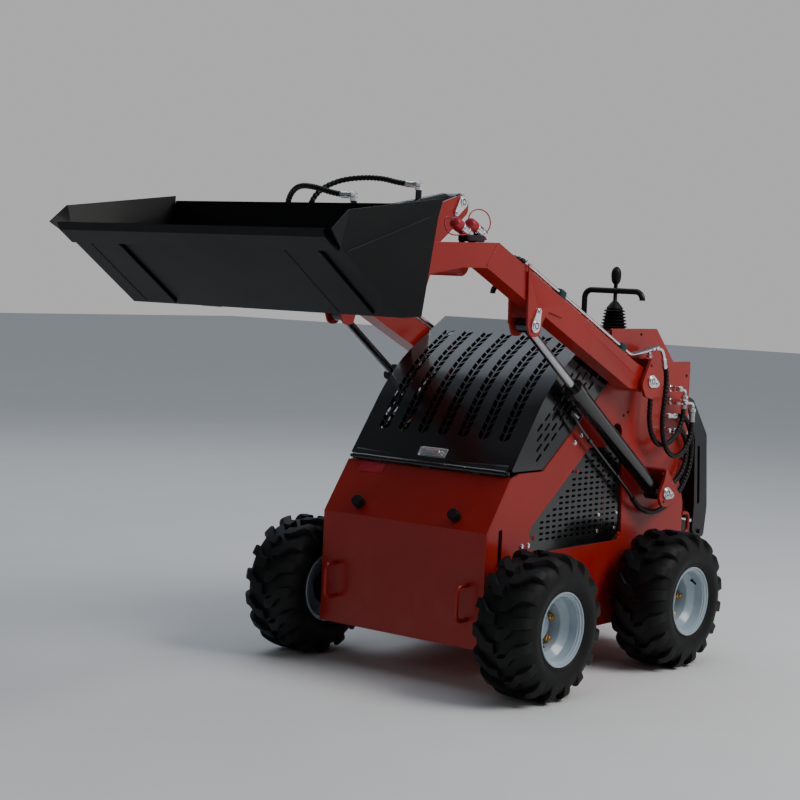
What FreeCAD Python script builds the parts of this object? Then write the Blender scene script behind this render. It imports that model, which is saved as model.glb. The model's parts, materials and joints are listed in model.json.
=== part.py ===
import FreeCAD, Part
import os
from math import asin, atan2, cos, degrees, hypot, pi, radians, sin, tan

os.makedirs("parts", exist_ok=True)

# A compact wheeled loader with skid steering, worked from a stand-on place at its back.
# +X is the machine's left, -Y its front and +Z up. Lengths are millimetres, angles degrees.
# Heights count from the ground. In this file Y counts from midway between the axles, and
# every piece is moved by shift_y when it is saved, so that the origin is under the middle.

# Wheels
wheel_base = 774.0
wheel_gap = 34.0
tyre_od = 460.0
tyre_width = 212.0
tyre_facets = 18
tyre_bead_height = 15.0
lug_height = 17.0
lug_count = 16
lug_width = 34.0
lug_inner_x = 6.0
lug_kink_x = 36.0
lug_kink_lead = 10.0
lug_outer_lead = 60.0
lug_shoulder_drop = 48.0
lug_flat_share = 0.7
rim_od = 231.0
rim_width = 190.0
rim_wall = 5.0
rim_dish = 125.0
rim_seat_drop = 13.0
bead_gap = 0.3
motor_r = 58.0
stub_r = 25.0
stub_play = 0.05
motor_gap = 1.0
axle_beam = 40.0

# Chassis
half_body = 332.0
side_wall = 8.0
sheet = 6.0
belly_z = 137.0
front_overhang = 95.0
rear_overhang = 318.0
nose_bend_z = 503.0
nose_top_z = 668.0
nose_setback = 114.0
sill_z = 680.0
sill_back = 291.0
brace_angle = 37.0
tower_front_y = 177.0
tower_top_z = 1138.0
tower_top_length = 289.0
tower_slope_y = 589.0
tower_step_z = 1022.0
waist_z = 611.0
waist_depth = 40.0
deck_drop = 13.0
service_hole = (240.0, 787.0)
service_hole_r = 32.0
nose_slot = (53.0, 400.0, 500.0, 20.0)
grille_frame = 12.0
grille_slot = (22.0, 8.0)
grille_pitch = (35.5, 18.4)
grille_first = (-173.0, 458.5)
grille_margin = 27.0
engine_gap = 17.0
engine_length = 440.0
engine_width = 420.0
engine_height = 440.0

# Hood
hood_sheet = 3.0
knuckle_x = 250.0
knuckle_half = 25.0
hood_gap = 5.0
hinge_bar_r = 6.0
knuckle_r = 10.0
hood_low_angle = 54.5
hood_high_angle = 31.5
hood_low_length = 215.0
hood_bend_r = 680.0
hood_high_length = 186.0
stop_r = 19.0
stop_length = 30.0
vent_rows = 7
vent_row_pitch = 82.0
vent_first = 99.0
vent_count = 16
vent_pitch = 30.0
vent_length = 25.0
vent_slant = 12.0
vent_inner_x = 3.0
vent_outer_x = 20.0
wing_slot = (36.0, 10.0)
wing_slot_angle = 41.6
wing_pitch = (40.5, 32.0)
wing_first = (-215.0, 725.0)
wing_margins = (40.0, 18.0)

# Lift arms
arm_gap = 13.0
arm_width = 60.0
arm_wall_plate = 6.0
arm_pivot = (290.0, 966.0)
arm_angle = 24.3
arm_depth = 92.0
arm_pivot_offset = 17.0
nose_depth = 68.0
elbow_y = -606.0
nose_tip_y = -940.0
nose_rise = 1.8
pivot_boss_r = 38.0
pin_r = 15.0
pin_play = 0.3
hitch_pin = (-1000.0, 1200.0)
lift_pin = (-390.0, 1148.0)
lift_base = (426.0, 580.0)
tilt_base = (-310.0, 1527.0)
tilt_pin = (-960.0, 1408.0)
bridge_tube = (-690.0, 1328.0)
bridge_tube_r = 38.0
tilt_ear_gap = 42.0
ear_plate = 10.0
arm_clear = 5.0
keeper_thick = 5.0
tube_r = 6.0
tube_places = (15.0, 40.0)
tube_height = 20.0
clamp_spots = (150.0, 560.0)
coupler_r = 15.0
cap_r = 19.0
hose_r = 8.5
fitting_r = 10.0
leg_r = 8.0
leg_bend = 22.0
hose_planes = (20.0, 40.0, 60.0)

# Cylinders
lift_barrel_r = 28.5
lift_rod_r = 15.0
lift_barrel_length = 650.0
lift_eye_r = 22.0
lift_eye_width = 44.0
tilt_barrel_r = 32.0
tilt_rod_r = 16.0
tilt_barrel_length = 508.0
tilt_eye_r = 22.0
tilt_eye_width = 56.0
rod_play = 0.4
gland_extra_r = 3.5
gland_length = 42.0

# Bucket
bucket_half = 512.0
bucket_flare = 28.0
bucket_sheet = 5.0
lip = (-1505.0, 1397.0)
heel = (-1187.0, 1172.0)
heel_rear = (-1089.0, 1175.0)
back_top = (-1026.0, 1484.0)
edge_length = 82.0
edge_thick = 12.0
skid_in = 320.0
skid_out = 440.0
skid_thick = 7.0

# Rear platform
platform_pivot = (879.0, 396.0)
platform_arm = 6.0
platform_half = 300.0

front_y = -wheel_base / 2 - front_overhang
rear_y = wheel_base / 2 + rear_overhang
axle_z = tyre_od / 2
track = 2 * (half_body + wheel_gap) + tyre_width
arm_in = half_body + arm_gap
arm_out = arm_in + arm_width
arm_mid = arm_in + arm_width / 2
arm_plate_out = arm_out + arm_wall_plate
arm_plate_in = arm_in - arm_wall_plate
platform_rear_y = platform_pivot[0] + 51.0
shift_y = -(lip[0] + platform_rear_y) / 2


def vec(x, y, z):
    return FreeCAD.Vector(x, y, z)


def save(name, shape):
    """Moves a finished piece to the model's frame and writes it."""
    shape = shape.copy()
    shape.translate(vec(0, shift_y, 0))
    shape.exportStep("parts/" + name + ".step")


def on_yz(x):
    return lambda u, v: vec(x, u, v)


def ring(corners, place):
    """Closed wire through corners (u, v) or (u, v, radius), each rounded by a tangent arc."""
    edges = []
    ends = []
    count = len(corners)
    for i, corner in enumerate(corners):
        u, v = corner[0], corner[1]
        r = corner[2] if len(corner) > 2 else 0.0
        if r == 0.0:
            ends.append(((u, v), None, (u, v)))
            continue
        before, after = corners[i - 1], corners[(i + 1) % count]
        a = (before[0] - u, before[1] - v)
        b = (after[0] - u, after[1] - v)
        la, lb = hypot(*a), hypot(*b)
        a, b = (a[0] / la, a[1] / la), (b[0] / lb, b[1] / lb)
        half = 0.5 * abs(atan2(a[0] * b[1] - a[1] * b[0], a[0] * b[0] + a[1] * b[1]))
        t = r / tan(half)
        mid = ((a[0] + b[0]), (a[1] + b[1]))
        ml = hypot(*mid)
        far = r / sin(half) - r
        ends.append(((u + a[0] * t, v + a[1] * t), (u + mid[0] / ml * far, v + mid[1] / ml * far),
                     (u + b[0] * t, v + b[1] * t)))
    for i, (start, middle, stop) in enumerate(ends):
        if middle is not None:
            edges.append(Part.Arc(place(*start), place(*middle), place(*stop)).toShape())
        nxt = ends[(i + 1) % count][0]
        if hypot(nxt[0] - stop[0], nxt[1] - stop[1]) > 1e-6:
            edges.append(Part.LineSegment(place(*stop), place(*nxt)).toShape())
    return Part.Wire(edges)


def plate_x(corners, x0, x1):
    """Plate with a side outline in (y, z), between x0 and x1."""
    return Part.Face(ring(corners, on_yz(x0))).extrude(vec(x1 - x0, 0, 0))


def slot_x(start, stop, r, x0, x1):
    """Solid of a slot with round ends of radius r, from start to stop in (y, z)."""
    dy, dz = stop[0] - start[0], stop[1] - start[1]
    run = hypot(dy, dz)
    dy, dz = dy / run * r, dz / run * r
    place = on_yz(x0)
    a, b = place(start[0] - dz, start[1] + dy), place(start[0] + dz, start[1] - dy)
    c, d = place(stop[0] + dz, stop[1] - dy), place(stop[0] - dz, stop[1] + dy)
    wire = Part.Wire([Part.Arc(a, place(start[0] - dy, start[1] - dz), b).toShape(), Part.LineSegment(b, c).toShape(),
                      Part.Arc(c, place(stop[0] + dy, stop[1] + dz), d).toShape(), Part.LineSegment(d, a).toShape()])
    return Part.Face(wire).extrude(vec(x1 - x0, 0, 0))


def box(x0, x1, y0, y1, z0, z1):
    return Part.makeBox(x1 - x0, y1 - y0, z1 - z0, vec(x0, y0, z0))


def both(shape):
    """The piece and its mirror image across the middle of the machine."""
    return [shape, shape.mirror(vec(0, 0, 0), vec(1, 0, 0))]


def other_side(shape):
    return shape.mirror(vec(0, 0, 0), vec(1, 0, 0))


def bar(start, stop, r):
    """Round bar from start to stop."""
    run = stop - start
    return Part.makeCylinder(r, run.Length, start, run)


def cross_bar(y, z, r, x0, x1):
    """Round bar along X."""
    return Part.makeCylinder(r, x1 - x0, vec(x0, y, z), vec(1, 0, 0))


def fused(first, *rest):
    if not rest:
        return first
    return first.fuse(list(rest)).removeSplitter()


def bent_path(points, bend):
    """Straight runs through points, joined by tangent arcs of radius bend."""
    edges = []
    start = points[0]
    for before, corner, after in zip(points, points[1:], points[2:]):
        a = (before - corner).normalize()
        b = (after - corner).normalize()
        half = a.getAngle(b) / 2
        t = bend / tan(half)
        middle = (a + b).normalize() * (bend / sin(half) - bend)
        p0, p1 = corner + a * t, corner + b * t
        edges.append(Part.LineSegment(start, p0).toShape())
        edges.append(Part.Arc(p0, corner + middle, p1).toShape())
        start = p1
    edges.append(Part.LineSegment(start, points[-1]).toShape())
    return Part.Wire(edges)


def bent_bar(points, r, bend):
    """Round bar or tube along straight runs with tangent bends."""
    path = bent_path(points, bend)
    run = points[1] - points[0]
    section = Part.Wire([Part.makeCircle(r, points[0], run)])
    return path.makePipeShell([section], True, False)


def slide(point, angle, along, across=0.0):
    """The (y, z) reached from point by along in direction angle and across to its left."""
    a = radians(angle)
    return (point[0] + along * cos(a) - across * sin(a), point[1] + along * sin(a) + across * cos(a))


def strip(line, thick):
    """Closed outline of a bent sheet: the polyline line, thickened to its left by thick."""
    inner = []
    for i, (y, z) in enumerate(line):
        dirs = []
        if i > 0:
            dirs.append((y - line[i - 1][0], z - line[i - 1][1]))
        if i < len(line) - 1:
            dirs.append((line[i + 1][0] - y, line[i + 1][1] - z))
        dirs = [(d[0] / hypot(*d), d[1] / hypot(*d)) for d in dirs]
        if len(dirs) == 1:
            n = (-dirs[0][1], dirs[0][0])
            k = 1.0
        else:
            n = (-(dirs[0][1] + dirs[1][1]), dirs[0][0] + dirs[1][0])
            n = (n[0] / hypot(*n), n[1] / hypot(*n))
            k = 1.0 / (n[0] * -dirs[0][1] + n[1] * dirs[0][0])
        inner.append((y + n[0] * thick * k, z + n[1] * thick * k))
    return list(line) + inner[::-1]


# The nose panel's outer line, from its foot to the hood's hinge
nose_line = [(front_y, belly_z), (front_y, nose_bend_z), (front_y + nose_setback, nose_top_z)]
nose_slope = degrees(atan2(nose_top_z - nose_bend_z, nose_setback))
nose_back = strip(nose_line, -sheet)[3:][::-1]
hinge = (front_y + nose_setback + 2.0, nose_top_z + knuckle_r + 2.0)


def hood_line():
    """The hood's outer side line: a straight front, one wide bend and a straight top."""
    start = slide(hinge, hood_low_angle, knuckle_r + 4.0, 0.0)
    knee = slide(start, hood_low_angle, hood_low_length)
    turn = radians(hood_low_angle - hood_high_angle)
    centre = slide(knee, hood_low_angle, 0.0, -hood_bend_r)
    mid = slide(centre, (hood_low_angle + hood_high_angle) / 2, 0.0, hood_bend_r)
    crest = slide(centre, hood_high_angle, 0.0, hood_bend_r)
    top = slide(crest, hood_high_angle, hood_high_length)
    return start, knee, mid, crest, top


def side_plate():
    """Left side plate: nose edge, hood notch, brace, tower, waist and the holes in it."""
    rise = tower_front_y - (front_y + sill_back)
    notch_z = sill_z + rise * tan(radians(brace_angle))
    corners = [
        (nose_back[0][0], belly_z), (nose_back[1][0], nose_back[1][1]), (nose_back[2][0], nose_back[2][1]),
        (nose_back[2][0] + 45.0, sill_z), (front_y + sill_back, sill_z, 12.0), (tower_front_y, notch_z, 12.0),
        (tower_front_y, tower_top_z, 10.0), (tower_front_y + tower_top_length, tower_top_z, 6.0),
        (tower_slope_y, tower_step_z, 6.0), (rear_y + 5.0, tower_step_z, 4.0), (rear_y + 5.0, waist_z + 60.0, 20.0),
        (rear_y - waist_depth, waist_z, 30.0), (rear_y, waist_z - 90.0, 25.0), (rear_y, belly_z + 110.0),
        (rear_y - 70.0, belly_z),
    ]
    inside, outside = half_body - side_wall - 1.0, half_body + 1.0
    plate = plate_x(corners, half_body - side_wall, half_body)
    back, low, high, width = nose_slot
    y = front_y + back + width
    holes = [plate_x(grille_outline(0.0), inside, outside), slot_x((y, low), (y, high), width / 2, inside, outside)]
    for y in (-wheel_base / 2, wheel_base / 2):
        holes.append(cross_bar(y, axle_z, motor_r + 0.3, inside, outside))
    for y, z in (arm_pivot, lift_base):
        holes.append(cross_bar(y, z, pin_r, inside, outside))
    holes.append(cross_bar(*service_hole, service_hole_r, inside, outside))
    return plate.cut(holes)


def grille_outline(grow):
    """Outline of the opening for the lower side grille, grown all round by grow."""
    return [(-250.0 - grow, 500.0, 30.0), (-238.0 - grow, 418.0 - grow, 25.0), (270.0, 418.0 - grow, 0.0),
            (297.0 + grow, 440.0 - grow, 0.0), (284.0 + grow, 744.0 + grow, 6.0), (76.0, 744.0 + grow, 12.0)]


def edge_distance(point, a, b):
    """How far point lies to the right of the line from a to b."""
    dy, dz = b[0] - a[0], b[1] - a[1]
    return ((point[0] - a[0]) * dz - (point[1] - a[1]) * dy) / hypot(dy, dz)


def slot_grid(first, pitch, counts, size, angle, keep):
    """Slots (start, stop) of a grid, each size[0] long at angle, where keep(y, z) holds."""
    half = (size[0] - size[1]) / 2
    slots = []
    for row in range(counts[1]):
        for column in range(counts[0]):
            middle = (first[0] + column * pitch[0], first[1] + row * pitch[1])
            if keep(middle):
                slots.append((slide(middle, angle, -half), slide(middle, angle, half)))
    return slots


def side_grille():
    """Black perforated panel behind the side plate's lower opening."""
    x0 = half_body - side_wall - hood_sheet
    panel = plate_x(grille_outline(grille_frame), x0, x0 + hood_sheet)
    outline = [corner[:2] for corner in grille_outline(0.0)]
    reach = grille_slot[0] / 2

    def inside(middle):
        low_end, high_end = outline[0], outline[-1]
        slant = edge_distance((middle[0] - reach, middle[1]), low_end, high_end)
        return (slant > grille_margin and middle[0] + reach < outline[3][0] - grille_margin / 2
                and middle[1] < high_end[1] - grille_margin / 2)

    slots = slot_grid(grille_first, grille_pitch, (14, 16), grille_slot, 0.0, inside)
    r = grille_slot[1] / 2
    return panel.cut([slot_x(a, b, r, x0 - 1.0, x0 + hood_sheet + 1.0) for a, b in slots])


def nose_panel():
    """Front panel: upright lower part and upper part leaning back, one bent sheet."""
    return plate_x(strip(nose_line, -sheet), -half_body, half_body)


def nose_shelf():
    """Shelf at the top of the nose panel that carries the hood's hinge bar."""
    y0, z0 = nose_line[2]
    y1, z1 = nose_back[2]
    inner = half_body - side_wall
    return plate_x([(y0, z0), (y1, z1), (y1, z0 - sheet), (y0 + 60.0, z0 - sheet), (y0 + 60.0, z0)], -inner, inner)


def hinge_bar():
    """Round bar on which the hood turns, along the top of the nose."""
    inner = half_body - side_wall - 1.0
    rod_piece = cross_bar(hinge[0], hinge[1], hinge_bar_r, -inner, inner)
    feet = []
    for x in (-200.0, 0.0, 200.0):
        feet.append(box(x - 12.0, x + 12.0, hinge[0] - 5.0, hinge[0] + 5.0, nose_top_z, hinge[1]))
    return fused(rod_piece, *feet)


def belly_pan():
    inner = half_body - side_wall
    return box(-inner, inner, nose_back[0][0], rear_y - 70.0, belly_z, belly_z + sheet)


def tie_loops():
    """Round bar loops for lashing: two on the nose and two behind the rear wheels."""
    r = 7.0
    loops = []
    for side in (-1, 1):
        x = 268.0 * side
        points = [vec(x, front_y, 336), vec(x, front_y - 53, 336), vec(x, front_y - 53, 227), vec(x, front_y, 227)]
        loops.append(bent_bar(points, r, 22.0))
        y = rear_y
        x = (half_body - side_wall / 2) * side
        points = [vec(x, y, 478), vec(x, y + 50, 478), vec(x, y + 50, 404), vec(x, y, 404)]
        loops.append(bent_bar(points, r, 22.0))
    return loops


def hood_stops():
    """Two rubber buffers on the nose on which the open hood lies."""
    stops = []
    y, z = slide(nose_line[1], nose_slope, 40.0)
    for side in (-1, 1):
        foot = vec(196.0 * side, y, z)
        away = vec(0, -sin(radians(nose_slope)), cos(radians(nose_slope)))
        stops.append(Part.makeCylinder(stop_r, stop_length, foot, away))
    return stops


def hood_place(run):
    """The (y, z) on the hood's outer line after a run along it, and the line's angle there."""
    start, knee, mid, crest, top = hood_line()
    turn = radians(hood_low_angle - hood_high_angle)
    if run < hood_low_length:
        return slide(start, hood_low_angle, run), hood_low_angle
    arc = run - hood_low_length
    if arc < hood_bend_r * turn:
        angle = hood_low_angle - degrees(arc / hood_bend_r)
        centre = slide(knee, hood_low_angle, 0.0, -hood_bend_r)
        return slide(centre, angle, 0.0, hood_bend_r), angle
    return slide(crest, hood_high_angle, arc - hood_bend_r * turn), hood_high_angle


def hood_vents():
    """Cutters of the chevron vents: rows along the hood, each of pairs of slanted slots."""
    cutters = []
    for pair in range(vent_count):
        middle = vent_first + pair * vent_pitch + (vent_length + vent_slant) / 2
        (y, z), angle = hood_place(middle)
        low = -(vent_length + vent_slant) / 2
        for row in range(vent_rows):
            x = (row - (vent_rows - 1) / 2) * vent_row_pitch
            for side in (-1, 1):
                corners = []
                for across, along in ((vent_inner_x, low), (vent_inner_x, low + vent_length),
                                      (vent_outer_x, -low), (vent_outer_x, -low - vent_length)):
                    a, b = slide((y, z), angle, along, -2 * hood_sheet)
                    corners.append(vec(x + side * across, a, b))
                away = slide((0.0, 0.0), angle, 0.0, 3 * hood_sheet)
                face = Part.Face(Part.makePolygon(corners + corners[:1]))
                cutters.append(face.extrude(vec(0, *away)))
    return cutters


def wing_slots(x0, x1):
    """Slanted slots of one wing, clear of the skin, the brace's edge and the tower."""
    foot = (front_y + sill_back, sill_z)
    brace = slide(foot, brace_angle, 100.0)
    reach = wing_slot[0] / 2

    def inside(middle):
        skin = min(hypot(p[0] - middle[0], p[1] - middle[1])
                   for p in (hood_place(10.0 * i)[0] for i in range(68)))
        return (skin > wing_margins[0] and -edge_distance(middle, foot, brace) > wing_margins[1] + reach
                and middle[0] + reach < tower_front_y - wing_margins[1])

    slots = slot_grid(wing_first, wing_pitch, (10, 13), wing_slot, wing_slot_angle, inside)
    return [slot_x(a, b, wing_slot[1] / 2, x0, x1) for a, b in slots]


def hood():
    """Engine hood: curved top sheet with rows of vents, and a flat slotted wing down each side."""
    t = hood_sheet
    angles = (hood_low_angle, hood_low_angle, (hood_low_angle + hood_high_angle) / 2, hood_high_angle, hood_high_angle)
    outer = hood_line()
    inner = [slide(point, angle, 0.0, -t) for point, angle in zip(outer, angles)]
    edge_x = half_body - t

    def bent_edges(line, place):
        a, b, c, d, e = [place(*point) for point in line]
        return [Part.LineSegment(a, b).toShape(), Part.Arc(b, c, d).toShape(), Part.LineSegment(d, e).toShape()]

    def closing(points, place):
        ends = [place(*point) for point in points]
        return [Part.LineSegment(a, b).toShape() for a, b in zip(ends, ends[1:])]

    place = on_yz(-edge_x)
    wire = Part.Wire(bent_edges(outer, place) + closing([outer[-1], inner[-1]], place)
                     + bent_edges(inner[::-1], place) + closing([inner[0], outer[0]], place))
    skin = Part.Face(wire).extrude(vec(2 * edge_x, 0, 0)).cut(hood_vents())
    lift = hood_gap / cos(radians(brace_angle))
    foot_y = front_y + sill_back
    reach = tower_front_y - hood_gap
    chain = [inner[-1], (inner[-1][0], inner[-1][1] - 30.0),
             (reach, sill_z + (reach - foot_y) * tan(radians(brace_angle)) + lift), (foot_y, sill_z + lift),
             (inner[0][0] + 3.0, sill_z + lift), inner[0]]
    x0 = edge_x - t
    place = on_yz(x0)
    wing = Part.Face(Part.Wire(bent_edges(inner, place) + closing(chain, place))).extrude(vec(t, 0, 0))
    wing = wing.cut(wing_slots(x0 - 1.0, edge_x + 1.0))
    knuckles = []
    for x in (-knuckle_x, knuckle_x):
        a, b = x - knuckle_half, x + knuckle_half
        eye = cross_bar(hinge[0], hinge[1], knuckle_r, a, b)
        tongue = plate_x([slide(hinge, hood_low_angle, 4.0, -t), slide(hinge, hood_low_angle, 30.0, -t),
                          slide(hinge, hood_low_angle, 30.0), slide(hinge, hood_low_angle, 4.0)], a, b)
        hole = cross_bar(hinge[0], hinge[1], hinge_bar_r + pin_play, a - 1.0, b + 1.0)
        knuckles.append(eye.fuse(tongue).cut(hole))
    return fused(skin, *both(wing), *knuckles)


def engine_block():
    """Engine and pump, one plain mass on the belly pan between the axle beams."""
    y = -wheel_base / 2 + axle_beam + engine_gap
    z = belly_z + sheet
    return box(-engine_width / 2, engine_width / 2, y, y + engine_length, z, z + engine_height)


def console():
    """Shell of the operator's tower between the side plates: front wall, deck, slope and back."""
    drop = deck_drop
    y0 = tower_front_y + 6.0
    top_z = tower_top_z - drop
    y1 = tower_front_y + tower_top_length - 3.0
    line = [(y0, belly_z + sheet), (y0, top_z), (y1, top_z), (tower_slope_y - 5.0, tower_step_z - drop),
            (rear_y - 12.0, tower_step_z - drop), (rear_y - 12.0, waist_z + 45.0),
            (rear_y - waist_depth - 18.0, waist_z), (rear_y - 15.0, waist_z - 92.0),
            (rear_y - 15.0, belly_z + 110.0), (rear_y - 78.0, belly_z + sheet)]
    inner = half_body - side_wall
    shell = plate_x(strip(line, -4.0), -inner, inner)
    return shell.cut(both(side_grille()))


def joysticks():
    """Two control sticks, each with its folded rubber boot, standing on the deck."""
    z = tower_top_z - deck_drop
    sticks = []
    for side in (-1, 1):
        x, y = 185.0 * side, 420.0
        profile = [(0, 0), (46, 0), (46, 8), (38, 14), (42, 24), (33, 32), (37, 42), (28, 50), (31, 58), (12, 96), (8, 100),
                   (8, 165), (15, 172), (18, 200), (12, 218), (0, 222)]
        wire = Part.makePolygon([vec(x + r, y, z + h) for r, h in profile + [profile[0]]])
        sticks.append(Part.Face(wire).revolve(vec(x, y, z), vec(0, 0, 1), 360))
    return sticks


def hand_guards():
    """Round bar hand rests in front of the sticks."""
    z = tower_top_z - deck_drop
    y = tower_front_y + 208.0
    inner, outer = 82.0, half_body - 16.0
    guards = []
    for side in (-1, 1):
        points = [vec(inner * side, y, z), vec(inner * side, y, z + 138), vec(outer * side, y, z + 138),
                  vec(outer * side, y, z + 108)]
        guards.append(bent_bar(points, 10.0, 28.0))
    return guards


def ear(centre, top, right, r):
    """Side outline of a boxed ear: a round eye with two corners, behind and above."""
    y, z = centre
    return [(y - 0.3 * r, z + r * 1.0, 10.0), (top[0] - 6.0, top[1], 6.0), (right[0], right[1] + 2.0, 10.0),
            (y + 0.35 * r, z - r * 1.08, 22.0), (y - 0.55 * r, z - 0.95 * r, 22.0), (y - r * 1.05, z - 0.2 * r, 26.0)]


def boxed_bracket(centre, top, right, r):
    """Outer ear for a pin, held to the side plate by a web over its upper back edge."""
    x1 = arm_plate_out + arm_clear + ear_plate
    outer = plate_x(ear(centre, top, right, r), x1 - ear_plate, x1)
    angle = degrees(atan2(right[1] - top[1], right[0] - top[0]))
    a = slide(top, angle, 4.0)
    b = slide(right, angle, -12.0)
    web = plate_x([a, b, slide(b, angle, 0.0, -8.0), slide(a, angle, 0.0, -8.0)], half_body, x1 - ear_plate)
    return outer.fuse(web)


def keeper(centre, bolt, x):
    """Drop-shaped retainer plate on a pin's end, with its bolt's head."""
    tilt = atan2(bolt[1] - centre[1], bolt[0] - centre[0])
    reach = hypot(bolt[0] - centre[0], bolt[1] - centre[1])
    big, small = pin_r + 6.0, pin_r - 4.0
    lean = asin((big - small) / reach)
    points = []
    for sign in (1, -1):
        a = tilt + sign * (pi / 2 - lean)
        points.append(((centre[0] + big * cos(a), centre[1] + big * sin(a)),
                       (bolt[0] + small * cos(a), bolt[1] + small * sin(a))))
    place = on_yz(x)
    (p, q), (r, s) = points
    back = place(centre[0] - big * cos(tilt), centre[1] - big * sin(tilt))
    tip = place(bolt[0] + small * cos(tilt), bolt[1] + small * sin(tilt))
    wire = Part.Wire([Part.LineSegment(place(*p), place(*q)).toShape(), Part.Arc(place(*q), tip, place(*s)).toShape(),
                      Part.LineSegment(place(*s), place(*r)).toShape(), Part.Arc(place(*r), back, place(*p)).toShape()])
    plate = Part.Face(wire).extrude(vec(keeper_thick, 0, 0))
    return plate.fuse(cross_bar(bolt[0], bolt[1], 6.0, x, x + keeper_thick + 4.0))


def side_bracket():
    """The boxed ears of one side: the arm's pivot above, the lift cylinder's foot below."""
    x1 = arm_plate_out + arm_clear + ear_plate
    top = boxed_bracket(arm_pivot, (296.0, 1048.0), (366.0, 952.0), 56.0)
    low = boxed_bracket(lift_base, (428.0, 666.0), (520.0, 566.0), 46.0)
    pins = []
    for y, z in (arm_pivot, lift_base):
        rod = cross_bar(y, z, pin_r, half_body - side_wall, x1 + keeper_thick + 2.0)
        pins.append(fused(rod, keeper((y, z), (y + 31.0, z - 9.0), x1)))
    bores = [cross_bar(y, z, pin_r, half_body, x1 + 1.0) for y, z in (arm_pivot, lift_base)]
    return [top.cut(bores[0]), low.cut(bores[1])], pins


def arm():
    """Left lift arm: boss on the pivot, straight sloping box, elbow, level nose and its tip."""
    half = arm_depth / 2
    up = 180.0 - arm_angle
    root = slide(arm_pivot, up, 0.0, arm_pivot_offset)
    run = (elbow_y - root[0]) / cos(radians(up))
    low = slide(root, up, 90.0, half)
    high = slide(root, up, 90.0, -half)
    top_elbow = slide(root, up, run, -half)
    low_elbow = slide(root, up, run + 18.0, half)
    rise = tan(radians(nose_rise))
    tip_z = top_elbow[1] - (top_elbow[0] - nose_tip_y) * rise
    body = [slide(arm_pivot, up, 0.0, pivot_boss_r - 1.0), low, low_elbow, (-762.0, low_elbow[1] - 2.0),
            (-913.0, low_elbow[1] - 24.0), (hitch_pin[0] + 42.0, hitch_pin[1] - 6.0, 8.0),
            (hitch_pin[0] + 26.0, hitch_pin[1] - 36.0, 26.0), (hitch_pin[0] - 30.0, hitch_pin[1] - 34.0, 28.0),
            (hitch_pin[0] - 33.0, hitch_pin[1] + 40.0, 10.0), (nose_tip_y, tip_z, 8.0),
            top_elbow, high, slide(arm_pivot, up, 0.0, -pivot_boss_r + 1.0)]
    beam = plate_x(body, arm_in, arm_out)
    boss = cross_bar(arm_pivot[0], arm_pivot[1], pivot_boss_r, arm_in - 5.0, arm_out + 5.0)
    plates = []
    y, z = lift_pin
    z_top = root[1] + (root[0] - (y - 50)) * tan(radians(arm_angle)) + half - 4.0
    cheek = [(y - 48.0, z_top - 6.0), (y - 40.0, z + 4.0, 18.0), (y - 24.0, z - 34.0, 24.0), (y + 24.0, z - 34.0, 24.0),
             (y + 42.0, z + 14.0, 20.0), (y + 70.0, z + 44.0), (y + 150.0, z + 26.0), (y + 150.0, z_top - 100.0)]
    for x0 in (arm_plate_in, arm_out):
        plates.append(plate_x(cheek, x0, x0 + arm_wall_plate))
    pivot_hole = cross_bar(arm_pivot[0], arm_pivot[1], pin_r + pin_play, arm_in - 10, arm_out + 10)
    tip_hole = cross_bar(hitch_pin[0], hitch_pin[1], pin_r + pin_play, arm_in - 10, arm_out + 10)
    y, z = lift_pin
    cheek_pin = cross_bar(y, z, pin_r, arm_plate_out - 1.0, arm_plate_out + keeper_thick + 2.0)
    lock = keeper(lift_pin, (y + 14.0, z + 44.0), arm_plate_out)
    return fused(beam, boss, *plates, cheek_pin, lock).cut([pivot_hole, tip_hole])


def arm_top(run, height):
    """The (y, z) above the sloping arm's top face, run forward from over the pivot."""
    up = 180.0 - arm_angle
    return slide(arm_pivot, up, run, arm_pivot_offset - arm_depth / 2 - height)


def arm_tubes():
    """Two hard oil tubes along the top of each arm, with the blocks that hold them."""
    pieces = []
    for place in tube_places:
        x = arm_in + place
        rear = arm_top(100.0, tube_height)
        points = [arm_top(800.0, tube_height), rear, (rear[0] + 150.0, rear[1] + 22.0), (rear[0] + 186.0, rear[1] - 30.0)]
        pieces.append(bent_bar([vec(x, y, z) for y, z in points], tube_r, 24.0))
    a, b = (arm_in + place for place in tube_places)
    for spot in clamp_spots:
        block = [arm_top(spot, 0.0), arm_top(spot + 36.0, 0.0), arm_top(spot + 36.0, tube_height + 14.0),
                 arm_top(spot, tube_height + 14.0)]
        pieces.append(plate_x(block, a - 12.0, b + 12.0))
    return fused(*pieces)


def aux_couplers():
    """Two quick couplers on the left arm's nose under their caps, on one block."""
    foot = (elbow_y - 70.0, hitch_pin[1] + 198.7)
    x = arm_mid - 8.0
    pieces = [box(x - 20.0, x + 20.0, foot[0] - 44.0, foot[0] + 44.0, foot[1] - 6.0, foot[1] + 14.0)]
    for shift in (-38.0, 34.0):
        a = slide((foot[0] + shift + 20.0, foot[1] + 16.0), 155.0, 0.0)
        b = slide(a, 155.0, 42.0)
        c = slide(b, 155.0, 38.0)
        pieces.append(bar(vec(x, *a), vec(x, *b), coupler_r))
        pieces.append(bar(vec(x, *b), vec(x, *c), cap_r))
    return fused(*pieces)


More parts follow.
